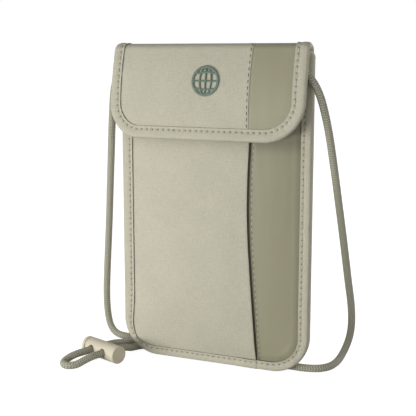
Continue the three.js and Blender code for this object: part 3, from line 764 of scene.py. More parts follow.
def smooth_columns(zs):
    """Rows across the whole front, with close columns at the opening's fold and its stitches."""
    half = half_width_at(zs, PANEL_INSET)
    fold = pocket_edge(zs) + GROOVE
    near = np.array([-2.4, -1.6, -1.0, -0.75, -0.5, -0.3, -0.1, 0.1, 0.35, 0.7, 1.1, 1.5, 2.0, 2.8])
    left = -half[:, None] + (fold - 3.4 + half)[:, None] * spaced(0, 1, 3.0 / 90)[None]
    middle = fold[:, None] + near[None]
    right = (fold + 3.9)[:, None] + (half - fold - 3.9)[:, None] * spaced(0, 1, FINE / 30)[None]
    return np.concatenate([left, middle, right], axis=1)


def flap_shade(z):
    """A soft dark band under the flap's edge. It is painted, in place of a shadow."""
    return bell(z - FLAP_BOTTOM + 0.5, 5.5)


def pocket_painted_shade(x, z):
    # A faint painted shadow under the flap's edge.
    return 0.13 * flap_shade(z) + 0 * x


def smooth_painted_shade(x, z):
    """Painted shade: dark in the slip pocket's opening, fainter beside its stitches, and a painted shadow
    under the flap's edge.
    """
    beyond = x - pocket_edge(z) - GROOVE
    opening = np.maximum(0.9 - 0.9 * smooth((beyond + 0.75) / 0.6), 0.45 * bell(beyond - 0.7, 1.3))
    return np.maximum(opening, 0.42 * flap_shade(z))


finish_piece(body_layer("front_lining_cloth", -1, LINING_INSET, high("front_lining")[2], front_lining_depth,
                        0.3, LINING), "lining", "pouch", "front_lining")
front_pad = finish_piece(body_layer("front_foam_pad", -1, FOAM_INSET, high("front_foam")[2], front_foam_depth,
                                    1.0, FOAM), "foam", "pouch", "front_foam")
finish_piece(body_layer("smooth_front_fabric", -1, PANEL_INSET, MOUTH, smooth_panel_depth, PANEL, SMOOTH,
                        FINE, smooth_columns, smooth_painted_shade), "smooth_fabric", "pouch", "front_panel_smooth")
finish_piece(body_layer("slip_pocket_lining_cloth", -1, LINING_INSET, high("slip_pocket_lining")[2],
                        PANEL + GAP, 0.3, LINING, 2.6, pocket_columns(LINING_INSET, 2.0, 2.6)),
             "lining", "pouch", "slip_pocket_lining")


def pocket_depth(x, z):
    """The free edge is turned under, so it stands a little proud."""
    return -0.3 * smooth((x - pocket_edge(z) + 6.5) / 5) * clamp01((inset_of(x, z) - BINDING_WIDTH) / 8)


finish_piece(body_layer("slip_pocket_fabric", -1, PANEL_INSET, MOUTH, pocket_depth, PANEL, LIGHT, FINE,
                        pocket_columns(PANEL_INSET, 0.3, FINE), pocket_painted_shade),
             "light_fabric", "pouch", "slip_pocket_panel")


# ---------- bound edges ----------
def edge_place(s, half_width, depth, corners):
    """Down the left side, round the bottom, up the right: x, distance down and angle turned at length s."""
    left, right = corners
    flat = 2 * half_width - left - right
    ends = np.cumsum([depth - left, left * math.pi / 2, flat, right * math.pi / 2, depth - right])
    first = np.clip((s - ends[0]) / left, 0, math.pi / 2)
    second = np.clip((s - ends[2]) / right, 0, math.pi / 2)
    x = -half_width + left * (1 - np.cos(first)) + np.clip(s - ends[1], 0, flat) + right * np.sin(second)
    down = (np.minimum(s, ends[0]) + left * np.sin(first) - right * (1 - np.cos(second))
            - np.maximum(s - ends[3], 0))
    return x, down, first + second, ends[4]


class BoundEdge:
    """An outline with folded tape on it. place(x, down, share, height) gives points in space."""

    def __init__(self, half_width, depth, corners, place, tape_width):
        self.shape = (half_width, depth, corners)
        self.place = place
        self.tape_width = tape_width
        self.total = edge_place(np.zeros(1), *self.shape)[3]
        fine = np.linspace(0, self.total, 4000)
        self.row_lengths = (self.row_length(fine), fine)

    def row_length(self, s):
        """Length along the row of stitches, which is shorter than the outline at its corners."""
        return s - STITCH_INSET * edge_place(s, *self.shape)[2]

    def outline_length(self, length):
        """The other way: length along the outline, from length along the row of stitches."""
        return np.interp(length, *self.row_lengths)

    def at(self, s, inset, share, height):
        """Points at a distance in from the outline, counted in tape of the usual width."""
        x, down, turned, _ = edge_place(s, *self.shape)
        inset = inset * self.tape_width(x, down) / BINDING_WIDTH
        return self.place(x + np.cos(turned) * inset, down - np.sin(turned) * inset, share, height)

    def row(self, share):
        """A function that gives the stitches' places and outward directions on one side of the tape."""
        def sample(length):
            s = self.outline_length(length)
            base = self.at(s, STITCH_INSET, share, ROW_HEIGHT)
            return base, unit(self.at(s, STITCH_INSET, share, ROW_HEIGHT + 0.5) - base)
        return sample


ROW_HEIGHT = TAPE + 0.02
EDGE_SECTION_SHARES = [1.008, 0.99, 0.955, 0.91, 0.87, 0.835, 0.805, 0.78, 0.757, 0.736, 0.715, 0.692, 0.667,
                       0.637, 0.6, 0.55, 0.48, 0.4, 0.3, 0.2, 0.13]


def edge_section(width):
    """The folded tape's closed outline: inset, share of the way back, height off the cloth, and painted shade
    where its edges tuck against the cloth.
    """
    leg = [t * width for t in EDGE_SECTION_SHARES]
    puff = [0.5 * bell(t - 0.33, 0.3) for t in EDGE_SECTION_SHARES]
    rise = [TAPE * 0.4, TAPE * 0.95] + [TAPE + extra for extra in puff[2:]]
    # Painted shade where the tape's edges tuck against the cloth.
    tuck_shade = [1.0, 0.25] + [0.0] * (len(leg) - 2)
    turn = np.radians([-60, -30, 0, 30, 60])
    section = [(t, 0.0, h, d) for t, h, d in zip(leg, rise, tuck_shade)]
    section += [(1 - math.cos(a), (1 + math.sin(a)) / 2, TAPE, 0.0) for a in turn]
    section += [(t, 1.0, h, d) for t, h, d in zip(leg[::-1], rise[::-1], tuck_shade[::-1])]
    section += [(width - 0.05, 1.0, -GAP * 0.7, 1.0), (width * 0.5, 1.0, 0.0, 0.0), (1.6, 1.0, 0.0, 0.0)]
    section += [(0.6 + (1 - math.cos(a)), (1 - math.sin(a)) / 2, 0.0, 0.0) for a in turn]
    section += [(1.6, 0.0, 0.0, 0.0), (width * 0.5, 0.0, 0.0, 0.0), (width - 0.05, 0.0, -GAP * 0.7, 1.0)]
    return np.array(section)


def needle_pattern(length, t, stitch_inset):
    """Depth of the stitch row's groove and its needle holes, and how much painted shade the holes get."""
    phase = (length / STITCH_PITCH) % 1
    from_hole = np.minimum(phase, 1 - phase) * STITCH_PITCH
    hole = bell(np.hypot(from_hole, (t - stitch_inset)), 0.45)
    groove = bell(t - stitch_inset, 0.75)
    pull = 0.09 * np.cos(2 * math.pi * phase) * bell(t - stitch_inset, 1.9)
    return 0.2 * groove + 0.3 * hole + pull, hole


def bind_edge(name, edge, material, start=0.0, stop=None, extra=None):
    """Tape folded over the edge, between two lengths along it."""
    s = spaced(start, edge.total if stop is None else stop, STITCH_PITCH / 8)[:, None]
    t, share, height, tuck_shade = (column[None] for column in edge_section(BINDING_WIDTH).T)
    outside = height > 0.2
    dip, hole = needle_pattern(edge.row_length(s), t, STITCH_INSET)
    lump = 0.06 * np.sin(s / 4.1) * np.sin(s / 7.7 + 1) + 0.04 * np.sin(s / 1.9 + t)
    height = height + np.where(outside, lump - dip, 0)
    if extra is not None:
        x, down, _, _ = edge_place(s, *edge.shape)
        height = height + np.where(outside, extra(x, down, s, t), 0)
    rings = edge.at(s, t, share, height)
    # Painted shade: darker in the needle holes and where the tape's edges tuck against the cloth.
    crease_shade = np.maximum(np.where(outside, 1.15 * hole, 0), tuck_shade + 0 * s)
    run = lengths_along(rings[len(s) // 2])
    uv = np.stack(np.broadcast_arrays(s, np.append(run, run[-1] + 0.5)[None]), -1)
    return tube(name, rings, uv, material, crease_shade)


def stitch_mesh(name, centres, directions, normals, material, length, radius):
    """Short threads that dive into the cloth at both ends."""
    steps = np.linspace(-1, 1, 7)
    angles = np.linspace(0, 2 * math.pi, 8, endpoint=False)
    side = unit(np.cross(directions, normals))
    lift = 0.12 - 0.42 * np.abs(steps) ** 3
    girth = radius * (1 - 0.35 * np.abs(steps) ** 4)
    middle = (centres[:, None] + directions[:, None] * (steps * length / 2)[None, :, None]
              + normals[:, None] * lift[None, :, None])
    ring = (side[:, None, None] * np.cos(angles)[None, None, :, None]
            + normals[:, None, None] * np.sin(angles)[None, None, :, None])
    points = middle[:, :, None] + ring * girth[None, :, None, None]
    count = len(centres)
    each = len(steps) * len(angles)
    quads, uv_index = grid_quads(len(steps), len(angles), True)
    caps = np.array([np.arange(8)[::-1], (len(steps) - 1) * 8 + np.arange(8)])
    offsets = (np.arange(count) * each)[:, None, None]
    faces = [(quads[None] + offsets).reshape(-1, 4), (caps[None] + offsets).reshape(-1, 8)]
    grid = np.stack(np.meshgrid(steps * length / 2, np.linspace(0, 1, 9), indexing="ij"), -1)[..., ::-1]
    uv = grid.reshape(-1, 2)
    uv_loops = [np.tile(uv[uv_index], (count, 1)), np.tile(np.repeat(uv[[0, -1]], 8, axis=0), (count, 1))]
    made = make_object(name, points.reshape(-1, 3), faces, uv_loops, material)
    consistent_normals(made)
    return made


def stitch_line(name, sample, start, stop, material, pitch=STITCH_PITCH, radius=0.3):
    """Stitches along a line. sample(s) gives points on the cloth and directions out of it, for lengths s."""
    first = math.ceil(start / pitch - 0.5)
    last = math.floor(stop / pitch - 0.5)
    s = (np.arange(first, last) + 0.5) * pitch
    centres, normals = sample(s)
    ahead, _ = sample(s + 0.4)
    behind, _ = sample(s - 0.4)
    return stitch_mesh(name, centres, unit(ahead - behind), normals, material, pitch * 0.68, radius)


# ---------- binding of the body ----------
BODY_DEPTH = BINDING_TOP + 1.7
END_ROUNDING = 2.6  # how far the tape's ends turn in under the fold


def body_edge_point(x, down, share, height):
    z = BODY_DEPTH - down
    x = x * (1 - END_ROUNDING * clamp01(1 - down / 4) ** 2 / HALF_WIDTH)
    front = -(front_level(x, z) + GAP + height)
    back = back_level(x, z) + GAP + height
    return stack(x, front * (1 - share) + back * share, z)


LAP_X = 30.3  # where the tape's two ends overlap on the bottom edge


def body_extra(x, down, s, t):
    """The lap where the tape's ends overlap, and gathers round the corners."""
    on_bottom = down > BODY_DEPTH - 3
    lap = np.where(on_bottom & (x < LAP_X), 0.55 * smooth((x - LAP_X + 16) / 9), 0)
    corner = smooth((down - (BODY_DEPTH - BODY_CORNER)) / 5) * smooth((np.abs(x) - 42) / 4)
    gathers = 0.12 * np.sin(s / 0.62) * corner * smooth((t - 1.5) / 4)
    return lap + gathers


def body_tape_width(x, down):
    """The tape isn't folded evenly: wider up the left side, narrow where it turns the bottom left corner."""
    side = smooth((BODY_DEPTH - down - 12) / 30)
    width = 6.3 + side * np.where(x < 0, 2.0, 0.3)
    return width - 1.7 * bell(np.hypot(x + 54.5, BODY_DEPTH - down - 7.5), 9)


body_edge = BoundEdge(HALF_WIDTH, BODY_DEPTH, (BODY_CORNER, BODY_CORNER), body_edge_point, body_tape_width)
finish_piece(bind_edge("body_binding_tape", body_edge, TAPE_CLOTH, extra=body_extra),
             "binding_tape", "pouch", "body_binding")
for side_name, share in (("front", 0.0), ("back", 1.0)):
    finish_piece(stitch_line(f"body_binding_stitches_{side_name}", body_edge.row(share), 1.5,
                             body_edge.row_lengths[0][-1] - 1.5, THREAD), "binding_tape", "pouch")


# ---------- hem of the mouth ----------
HEM_WIDTH = 9.0


def hem_point(x, down, share, height):
    z = MOUTH + 0.8 - down
    level = front_level(x, np.minimum(z, MOUTH))
    front = level + GAP + height * 0.8
    back = level - front_lining_depth(x, MOUTH + 0.0 * z) - height * 0.8
    return stack(x, -(front * (1 - share) + back * share), z)


class StraightEdge(BoundEdge):
    """A bound edge that runs straight across."""

    def __init__(self, start, stop):
        self.total = stop - start
        self.start = start
        self.shape = (1e4, 2e4, (1.0, 1.0))

    def row_length(self, s):
        return s

    def outline_length(self, length):
        return length

    def at(self, s, inset, share, height):
        x = self.start + s
        return hem_point(x, HEM_WIDTH / BINDING_WIDTH * inset + 0 * x, share, height)


hem = StraightEdge(low("mouth_hem")[0], high("mouth_hem")[0])
finish_piece(bind_edge("mouth_hem_tape", hem, TAPE_CLOTH), "binding_tape", "pouch", "mouth_hem")
finish_piece(stitch_line("mouth_hem_stitches", hem.row(0.0), 1, hem.total - 1, THREAD),
             "binding_tape", "pouch")


def pocket_row(s):
    x = pocket_edge(s) + GROOVE + 1.1
    level = front_level(x, s) + creep(x, s) - smooth_panel_depth(x, s)
    return stack(x, -level, s), np.broadcast_to(np.array([0.12, -0.99, 0.0]), (len(s), 3))


finish_piece(stitch_line("pocket_opening_stitches", pocket_row, 8.5, MOUTH - 9, THREAD, radius=0.24),
             "smooth_fabric", "pouch")


# ---------- flap and the fold over the top ----------
FLAP_Z0 = 194.0  # below this height the flap hangs, and its place is counted from its height
FOLD_KNOTS = np.array([  # y and z of the cloth's outer face, from the back, over the top
    (3.95, 188.0), (3.92, 191.0), (3.75, 193.9), (2.75, 196.8), (-1.0, 198.9), (-4.6, 199.5), (-7.4, 198.7),
    (-9.2, 197.3), (-10.24, FLAP_Z0), (-11.04, 191.0), (-11.78, 188.0)])
CREST_Y, CREST_Z = -16.3, 150  # where the hanging flap stands furthest forward, before its edge's flare
FLAP_CURL = 0.00313
FLARE, FLARE_TOP = 1.3, 152  # how far its bottom edge turns out, and where that starts
FOLD_V = lengths_along(FOLD_KNOTS)
FLAP_V0 = FOLD_V[8]
FLAP_END = FLAP_V0 + FLAP_Z0 - FLAP_BOTTOM
SPLIT_V = FOLD_V[5]  # the crest, where the part that follows the body ends and the flap's part starts
LAP_V = FOLD_V[1]


def flap_surface(x, v):
    """The outer face of the cloth that starts on the back, crosses the top and hangs as the flap."""
    z_hang = FLAP_Z0 - (v - FLAP_V0)
    y_hang = CREST_Y + FLAP_CURL * (z_hang - CREST_Z) ** 2 - FLARE * smooth((FLARE_TOP - z_hang) / 9)
    at = np.minimum(v, FOLD_V[-1])
    hanging = v >= FLAP_V0
    y = np.where(hanging, y_hang, hermite(FOLD_V, FOLD_KNOTS[:, 0], at))
    z = np.where(hanging, z_hang, hermite(FOLD_V, FOLD_KNOTS[:, 1], at))
    y = y - (1 - (x / FLAP_HALF) ** 2) * smooth((v - SPLIT_V) / 16)
    ends = smooth((np.abs(x) - 52) / 12) * bell(v - SPLIT_V, 11)
    slow = 0.14 * np.sin(x / 13 + 0.8 * np.sin(z / 19)) * smooth((v - FLAP_V0) / 12)
    return stack(x, y - slow, z - 0.9 * ends)


def flap_point(x, v, depth):
    """A point below the outer face, straight in from it."""
    step = 0.2
    along = flap_surface(x, v + step) - flap_surface(x, v - step)
    across = flap_surface(x + step, v) - flap_surface(x - step, v)
    normal = unit(np.cross(along, across))
    return flap_surface(x, v) - normal * np.asarray(depth)[..., None]


def flap_width(v):
    """Half width of the cloth's bound edge at v."""
    return FLAP_HALF - 1.6 * (1 - smooth((v - LAP_V) / (FLAP_V0 - LAP_V)))


def flap_half(v, inset, corner):
    radius = corner - inset
    past = np.clip(v - (FLAP_END - corner), 0, radius)
    bend = FLAP_HALF - corner + np.sqrt(radius**2 - past**2)
    return np.where(v > FLAP_END - corner, bend, flap_width(v) - inset)


def flap_inset(x, v):
    corner = np.where(x < 0, *FLAP_CORNERS)
    beyond_x = np.abs(x) - (FLAP_HALF - corner)
    beyond_v = v - (FLAP_END - corner)
    in_corner = (beyond_x > 0) & (beyond_v > 0)
    straight = np.minimum(flap_width(v) - np.abs(x), FLAP_END - v)
    return np.where(in_corner, corner - np.hypot(beyond_x, beyond_v), straight)


def flap_layer(name, inset, start, stop, depth, thickness, material, left=None, right=None, step=2.6,
               crease_shade=None):
    """A layer of the flap between two places along it. left and right stop it short of the flap's sides."""
    vs = spaced(start, stop, step)
    x0 = -flap_half(vs, inset, FLAP_CORNERS[0]) if left is None else np.full_like(vs, left)
    x1 = flap_half(vs, inset, FLAP_CORNERS[1]) if right is None else np.full_like(vs, right)
    share = spaced(0, 1, step / (x1[0] - x0[0]))
    x = x0[:, None] + (x1 - x0)[:, None] * share[None]
    v = np.broadcast_to(vs[:, None], x.shape)
    down = depth(x, v) if callable(depth) else np.full_like(x, depth)
    # The painted shade that this layer's cloth gets, if any.
    painted_shade = None if crease_shade is None else crease_shade(x, v)
    return sheet(name, flap_point(x, v, down), flap_point(x, v, down + thickness), np.stack([x, -v], -1),
                 material, painted_shade)


def padding(x, v):
    """How far the flap's foam swells its cloth, and how the stitched edge pulls it in."""
    inset = flap_inset(x, v)
    along = np.where(flap_width(v) - np.abs(x) < FLAP_END - v, v, x)
    pull = 0.10 * np.sin(math.pi * along / STITCH_PITCH)
    fade = np.exp(-clamp01((inset - BINDING_WIDTH) / 8) * 3)
    return -0.45 * smooth((inset - BINDING_WIDTH) / 6) - pull * fade


def light_flap_depth(x, v):
    """The light cloth is turned under at the seam and stitched right beside its edge."""
    row = 0.1 * bell(x - SEAM_X + 0.8, 0.5)
    return padding(x, v) * smooth((v - FLAP_V0) / 20) - 0.12 * smooth((x - SEAM_X + 5) / 4) + row


def side_flap_depth(x, v):
    """The smooth cloth goes in under the light one's edge."""
    under = 0.3 * (1 - smooth((x - SEAM_X) / 1.4))
    return padding(x, v) * smooth((v - FLAP_V0) / 20) + under


def side_painted_shade(x, v):
    # Painted shade in the gap where the smooth cloth goes in under the light one's edge.
    return 0.85 * (1 - smooth((x - SEAM_X + 0.1) / 0.9))


FLAP_STOP = FLAP_END - 1.0
TOP_STEP = 0.9
for part, start, stop, body, nodes, side_nodes in (
        ("fold", LAP_V, SPLIT_V, "back fold", ["fold_strip"], ["fold_side_strip"]),
        ("flap", SPLIT_V, FLAP_STOP, "front fold", ["flap_panel"], ["flap_side_panel"])):
    step = TOP_STEP if part == "fold" else FINE
    finish_piece(flap_layer(f"{part}_light_fabric", 1, start, stop, light_flap_depth, FLAP_PANEL, LIGHT,
                            right=SEAM_X, step=step), "light_fabric", body, *nodes)
    finish_piece(flap_layer(f"{part}_smooth_fabric", 1, start, stop, side_flap_depth, FLAP_PANEL, SMOOTH,
                            left=SEAM_X - 1.5, step=min(step, 0.9), crease_shade=side_painted_shade),
                 "smooth_fabric", body, *side_nodes)

PAD_INSET = 14.0


def flap_foam_share(x, v):
    return clamp01((flap_inset(x, v) - 8) / 4) * clamp01((v - FLAP_V0 - 5) / 3)


def flap_lining_depth(x, v):
    return FLAP_PANEL + GAP + 1.5 * flap_foam_share(x, v)


flap_pad = finish_piece(flap_layer("flap_foam_pad", PAD_INSET, FLAP_V0 + FLAP_Z0 - 185, FLAP_END - PAD_INSET,
                                   FLAP_PANEL + GAP, 1.2, FOAM), "foam", "flap", "flap_foam")
finish_piece(flap_layer("fold_lining_cloth", 2.5, FOLD_V[3] - 1, SPLIT_V, FLAP_PANEL + GAP, 0.4, LINING,
                        step=1.5), "lining", "back fold", "fold_lining")
finish_piece(flap_layer("flap_lining_cloth", 2.5, SPLIT_V, FLAP_END - 4, flap_lining_depth, 0.4, LINING,
                        step=1.6), "lining", "front fold", "flap_lining")


def flap_edge_point(x, down, share, height):
    v = BIND_V0 + down
    x = x * flap_width(v) / FLAP_HALF
    front = -(GAP * 0.4 + height)
    back = FLAP_PANEL + GAP + 0.4 + height
    return flap_point(x, v, front * (1 - share) + back * share)


BIND_V0 = FOLD_V[2] + 0.4
FLAP_PATH_DEPTH = FLAP_END - BIND_V0
SPLIT_S = SPLIT_V - BIND_V0


def flap_tape_width(x, down):
    side = smooth((FLAP_PATH_DEPTH - down - 8) / 20)
    return 7.7 + side * np.where(x < 0, -0.6, 0.7)


def flap_gathers(x, down, s, t):
    corner = smooth((down - (FLAP_PATH_DEPTH - 22)) / 5) * smooth((np.abs(x) - 44) / 4)
    return 0.09 * np.sin(s / 0.7) * corner * smooth((t - 1.5) / 4)


flap_edge = BoundEdge(FLAP_HALF, FLAP_PATH_DEPTH, FLAP_CORNERS, flap_edge_point, flap_tape_width)
for part, start, stop, body, nodes in (
        ("left_fold", 0, SPLIT_S, "back fold", []),
        ("flap", SPLIT_S, flap_edge.total - SPLIT_S, "front fold", ["flap_binding"]),
        ("right_fold", flap_edge.total - SPLIT_S, flap_edge.total, "back fold", [])):
    finish_piece(bind_edge(f"{part}_binding_tape", flap_edge, TAPE_CLOTH, start, stop, flap_gathers),
                 "binding_tape", body, *nodes)
    first, last = flap_edge.row_length(np.array([start, stop]))
    for side_name, share in (("outer", 0.0), ("inner", 1.0)):
        finish_piece(stitch_line(f"{part}_binding_stitches_{side_name}", flap_edge.row(share), first, last,
                                 THREAD), "binding_tape", body)


def seam_row(s):
    x = np.full_like(s, SEAM_X - 0.75)
    base = flap_point(x, s, light_flap_depth(x, s))
    return base, unit(flap_point(x, s, light_flap_depth(x, s) - 0.5) - base)


for part, start, stop, body in (("fold", LAP_V + 1, SPLIT_V, "back fold"),
                                ("flap", SPLIT_V, FLAP_END - BINDING_WIDTH + 2, "front fold")):
    finish_piece(stitch_line(f"{part}_seam_stitches", seam_row, start, stop, DARK_THREAD, radius=0.26),
                 "smooth_fabric", body)


def lap_row(s):
    """The row that sews the flap's cloth to the back panel."""
    v = np.full_like(s, LAP_V + 1.6)
    base = flap_point(s, v, np.full_like(s, 0.0))
    return base, unit(flap_point(s, v, np.full_like(s, -0.5)) - base)


finish_piece(stitch_line("back_lap_stitches", lap_row, -57, 57, THREAD), "light_fabric", "back fold")


# ---------- hook and loop patches ----------
def patch(name, corners, surface, thickness, material):
    """A flat patch with rounded corners. surface(x, z, height) gives points off the cloth under it."""
    (x0, z0), (x1, z1) = corners
    radius = 2.2
    zs = spaced(z0, z1, 0.8)
    rise = np.clip(radius - np.minimum(zs - z0, z1 - zs), 0, radius)
    half = (x1 - x0) / 2 - radius + np.sqrt(radius**2 - rise**2)
    x = (x0 + x1) / 2 + half[:, None] * spaced(-1, 1, 0.05)[None]
    z = np.broadcast_to(zs[:, None], x.shape)
    tufts = 0.06 * np.sin(x * 3.1 + np.sin(z * 2.3)) * np.sin(z * 2.9 + np.sin(x * 1.7))
    return sheet(name, surface(x, z, thickness + tufts), surface(x, z, 0 * x), np.stack([x, z], -1), material)


def on_front(x, z, height):
    return stack(x, -(front_level(x, z) + creep(x, z) + 0.1 + height), z)


def under_flap(x, z, height):
    v = FLAP_V0 + FLAP_Z0 - z
    return flap_point(x, v, flap_lining_depth(x, v) + 0.5 + height)


def patch_corners(node):
    a, b = low(node), high(node)
    return (a[0], a[2]), (b[0], b[2])


finish_piece(patch("loop_patch_pile", patch_corners("loop_patch"), on_front, 0.8, LOOP_PILE),
             "hook_and_loop", "pouch", "loop_patch")
finish_piece(patch("hook_patch_pile", patch_corners("hook_patch"), under_flap, 0.6, HOOK_PILE),
             "hook_and_loop", "flap", "hook_patch")


# ---------- badge: a plain globe ----------
BADGE_CENTRE = (1.0, 177.5)
BADGE_RADIUS = 8.1


def badge():
    """Raised lines of a generic globe: a ring, a middle line, an oval meridian and two parallels."""
    cx, cz = BADGE_CENTRE
    radius = BADGE_RADIUS
    turn = np.linspace(0, 2 * math.pi, 73)
    lines = [(radius * np.cos(turn), radius * np.sin(turn), 0.85)]
    lines.append((0.46 * radius * np.cos(turn), radius * np.sin(turn), 0.55))
    run = np.linspace(-1, 1, 25)
    lines.append((0 * run, radius * run, 0.55))
    lines.append((radius * run, 0 * run, 0.55))
    for side in (-1, 1):
        height = 0.5 * radius * side
        reach = math.sqrt(radius**2 - height**2)
        lines.append((reach * run, height + side * 0.9 * (1 - run**2), 0.5))
    made = []
    for number, (x, z, half) in enumerate(lines):
        centre = np.stack([cx + x, FLAP_V0 + FLAP_Z0 - (cz + z)], -1)
        heading = unit(np.gradient(centre, axis=0))
        if len(x) == 73:
            heading[0] = heading[-1] = unit(centre[1] - centre[-2])
        beside = np.stack([-heading[:, 1], heading[:, 0]], -1)
        angle = np.linspace(0, 2 * math.pi, 12, endpoint=False)
        off = np.cos(angle)[None, :, None] * half * beside[:, None]
        place = centre[:, None] + off
        depth = padding(place[..., 0], place[..., 1]) - 0.15 - 0.75 * (np.sin(angle)[None] * 0.62 + 0.38)
        rings = flap_point(place[..., 0], place[..., 1], depth)
        uv = np.zeros((len(x), 13, 2))
        made.append(tube(f"badge_line_{number}", rings, uv, RUBBER))
    with bpy.context.temp_override(active_object=made[0], selected_editable_objects=made):
        bpy.ops.object.join()
    made[0].name = "globe_badge"
    remesh(made[0], 0.2, 3)
    return made[0]


finish_piece(badge(), "emblem_rubber", "flap", "emblem")


# ---------- cord anchors ----------
def lathe(name, profile, start, axis, material, around=64):
    """A solid turned about an axis, from [distance along, radius] pairs that start and end on the axis."""
    profile = np.array(profile, float)
    axis = unit(np.array(axis, float))
    side = unit(np.cross(axis, (0, 0, 1)))
    up = np.cross(side, axis)
    angle = np.linspace(0, 2 * math.pi, around, endpoint=False)
    ring = np.cos(angle)[:, None] * side + np.sin(angle)[:, None] * up
    radii = np.maximum(profile[:, 1], 0.02)
    rings = np.array(start) + profile[:, 0, None, None] * axis + radii[:, None, None] * ring[None]
    run = lengths_along(profile)
    uv = np.stack(np.meshgrid(run, np.linspace(0, 1, around + 1), indexing="ij"), -1)[..., ::-1]
    return tube(name, rings, uv, material)


def rounded_profile(points, radius, steps=4):
    """The outline with each inner corner rounded by a short curve."""
    points = [np.array(p, float) for p in points]
    found = [points[0]]
    for before, corner, after in zip(points, points[1:], points[2:]):
        a, b = before - corner, after - corner
        reach = min(radius, 0.45 * np.linalg.norm(a), 0.45 * np.linalg.norm(b))
        a, b = corner + unit(a) * reach, corner + unit(b) * reach
        for t in np.linspace(0, 1, steps + 1):
            found.append((1 - t) ** 2 * a + 2 * t * (1 - t) * corner + t**2 * b)
    return [*found, points[-1]]


SLEEVE_INNER = np.array([43.6, -2.2, 188.9])
SLEEVE_OUTER = np.array([51.6, -5.4, 186.7])


def strap(name, centre, width, thick, across, material):
    """A flat strap along a line of points, with rounded sides. across is its width's direction."""
    tangents = unit(np.gradient(centre, axis=0))
    across = unit(across - tangents * (across * tangents).sum(1, keepdims=True))
    normal = np.cross(tangents, across)
    angle = np.linspace(0, 2 * math.pi, 28, endpoint=False)
    c, s = np.cos(angle), np.sin(angle)
    flat = np.sign(c) * np.abs(c) ** 0.35
    edge = np.sign(s) * np.abs(s) ** 0.8
    width, thick = np.broadcast_to(width, len(centre)), np.broadcast_to(thick, len(centre))
    rings = (centre[:, None] + across[:, None] * (flat[None] * width[:, None] / 2)[..., None]
             + normal[:, None] * (edge[None] * thick[:, None] / 2)[..., None])
    run = lengths_along(centre)
    around = np.append(flat * width.mean() / 2, flat[0] * width.mean() / 2)
    uv = np.stack(np.broadcast_arrays(run[:, None], around[None]), -1)
    return tube(name, rings, uv, material)


def cord_anchor(side):
    name = "left" if side < 0 else "right"
    mirror = np.array([side, 1, 1])
    inner, outer = SLEEVE_INNER * mirror, SLEEVE_OUTER * mirror
    profile = rounded_profile([(0, 0), (0, 2.3), (0.9, 2.9), (2.2, 2.9), (2.5, 2.6), (3.0, 2.6), (3.3, 2.95),
                               (7.6, 2.95), (8.4, 2.75), (8.4, 2.5), (1.2, 2.5), (1.2, 0)], 0.35)
    finish_piece(lathe(f"sleeve_{name}", profile, inner, outer - inner, PLASTIC),
                 "lock_plastic", "pouch", f"cord_sleeve_{name}")
    root = np.array([side * 31.9, 0.3, 188.6])
    middle = np.array([side * 38.5, 0.0, 188.6])
    line = smooth_curve([root, (root + middle) / 2, middle, inner - (outer - inner) / 8.4 * 0.35], 0.8)
    share = np.linspace(0, 1, len(line))
    width = 9.0 - 4.6 * smooth((share - 0.55) / 0.45)
    across = np.broadcast_to(np.array([0.0, 0.0, 1.0]), line.shape)
    finish_piece(strap(f"webbing_tab_{name}", line, width, 2.6, across, TAPE_CLOTH),
                 "binding_tape", "pouch", f"cord_tab_{name}")


cord_anchor(-1)
cord_anchor(1)


# ---------- cord lock ----------
LOCK_CENTRE = np.array([-68.3, -21.85, 5.7])
LOCK_ANGLE = -0.3663
LOCK_AXIS = np.array([math.cos(LOCK_ANGLE), math.sin(LOCK_ANGLE), 0])
LOCK_ACROSS = np.array([-math.sin(LOCK_ANGLE), math.cos(LOCK_ANGLE), 0])
HOLE_OFFSET = 5.65
HOLE_RADIUS = 2.9


def lock_point(along, across, z):
    spot = LOCK_CENTRE + LOCK_AXIS * along + LOCK_ACROSS * across
    return (spot[0], spot[1], z)


def drilled(piece, stretch):
    """Cuts the two cord holes across the piece, then rounds every edge."""
    cutters = []
    for number, along in enumerate((-HOLE_OFFSET, HOLE_OFFSET)):
        profile = [(-12, 0), (-12, HOLE_RADIUS), (12, HOLE_RADIUS), (12, 0)]
        centre = LOCK_CENTRE + LOCK_AXIS * along
        cutter = lathe(f"cutter_{number}", profile, centre, LOCK_ACROSS, PLASTIC, 48)
        co = np.array([v.co for v in cutter.data.vertices])
        off = (co / MM - centre) @ LOCK_AXIS
        co += np.outer(off * (stretch - 1) * MM, LOCK_AXIS)
        cutter.data.vertices.foreach_set("co", co.astype(np.float32).ravel())
        boolean = piece.modifiers.new("hole", "BOOLEAN")
        boolean.operation = "DIFFERENCE"
        boolean.solver = "EXACT"
        boolean.object = cutter
        cutters.append(cutter)
    apply_modifiers(piece)
    for cutter in cutters:
        bpy.data.objects.remove(cutter)
    remesh(piece, 0.17, 3)
    return piece


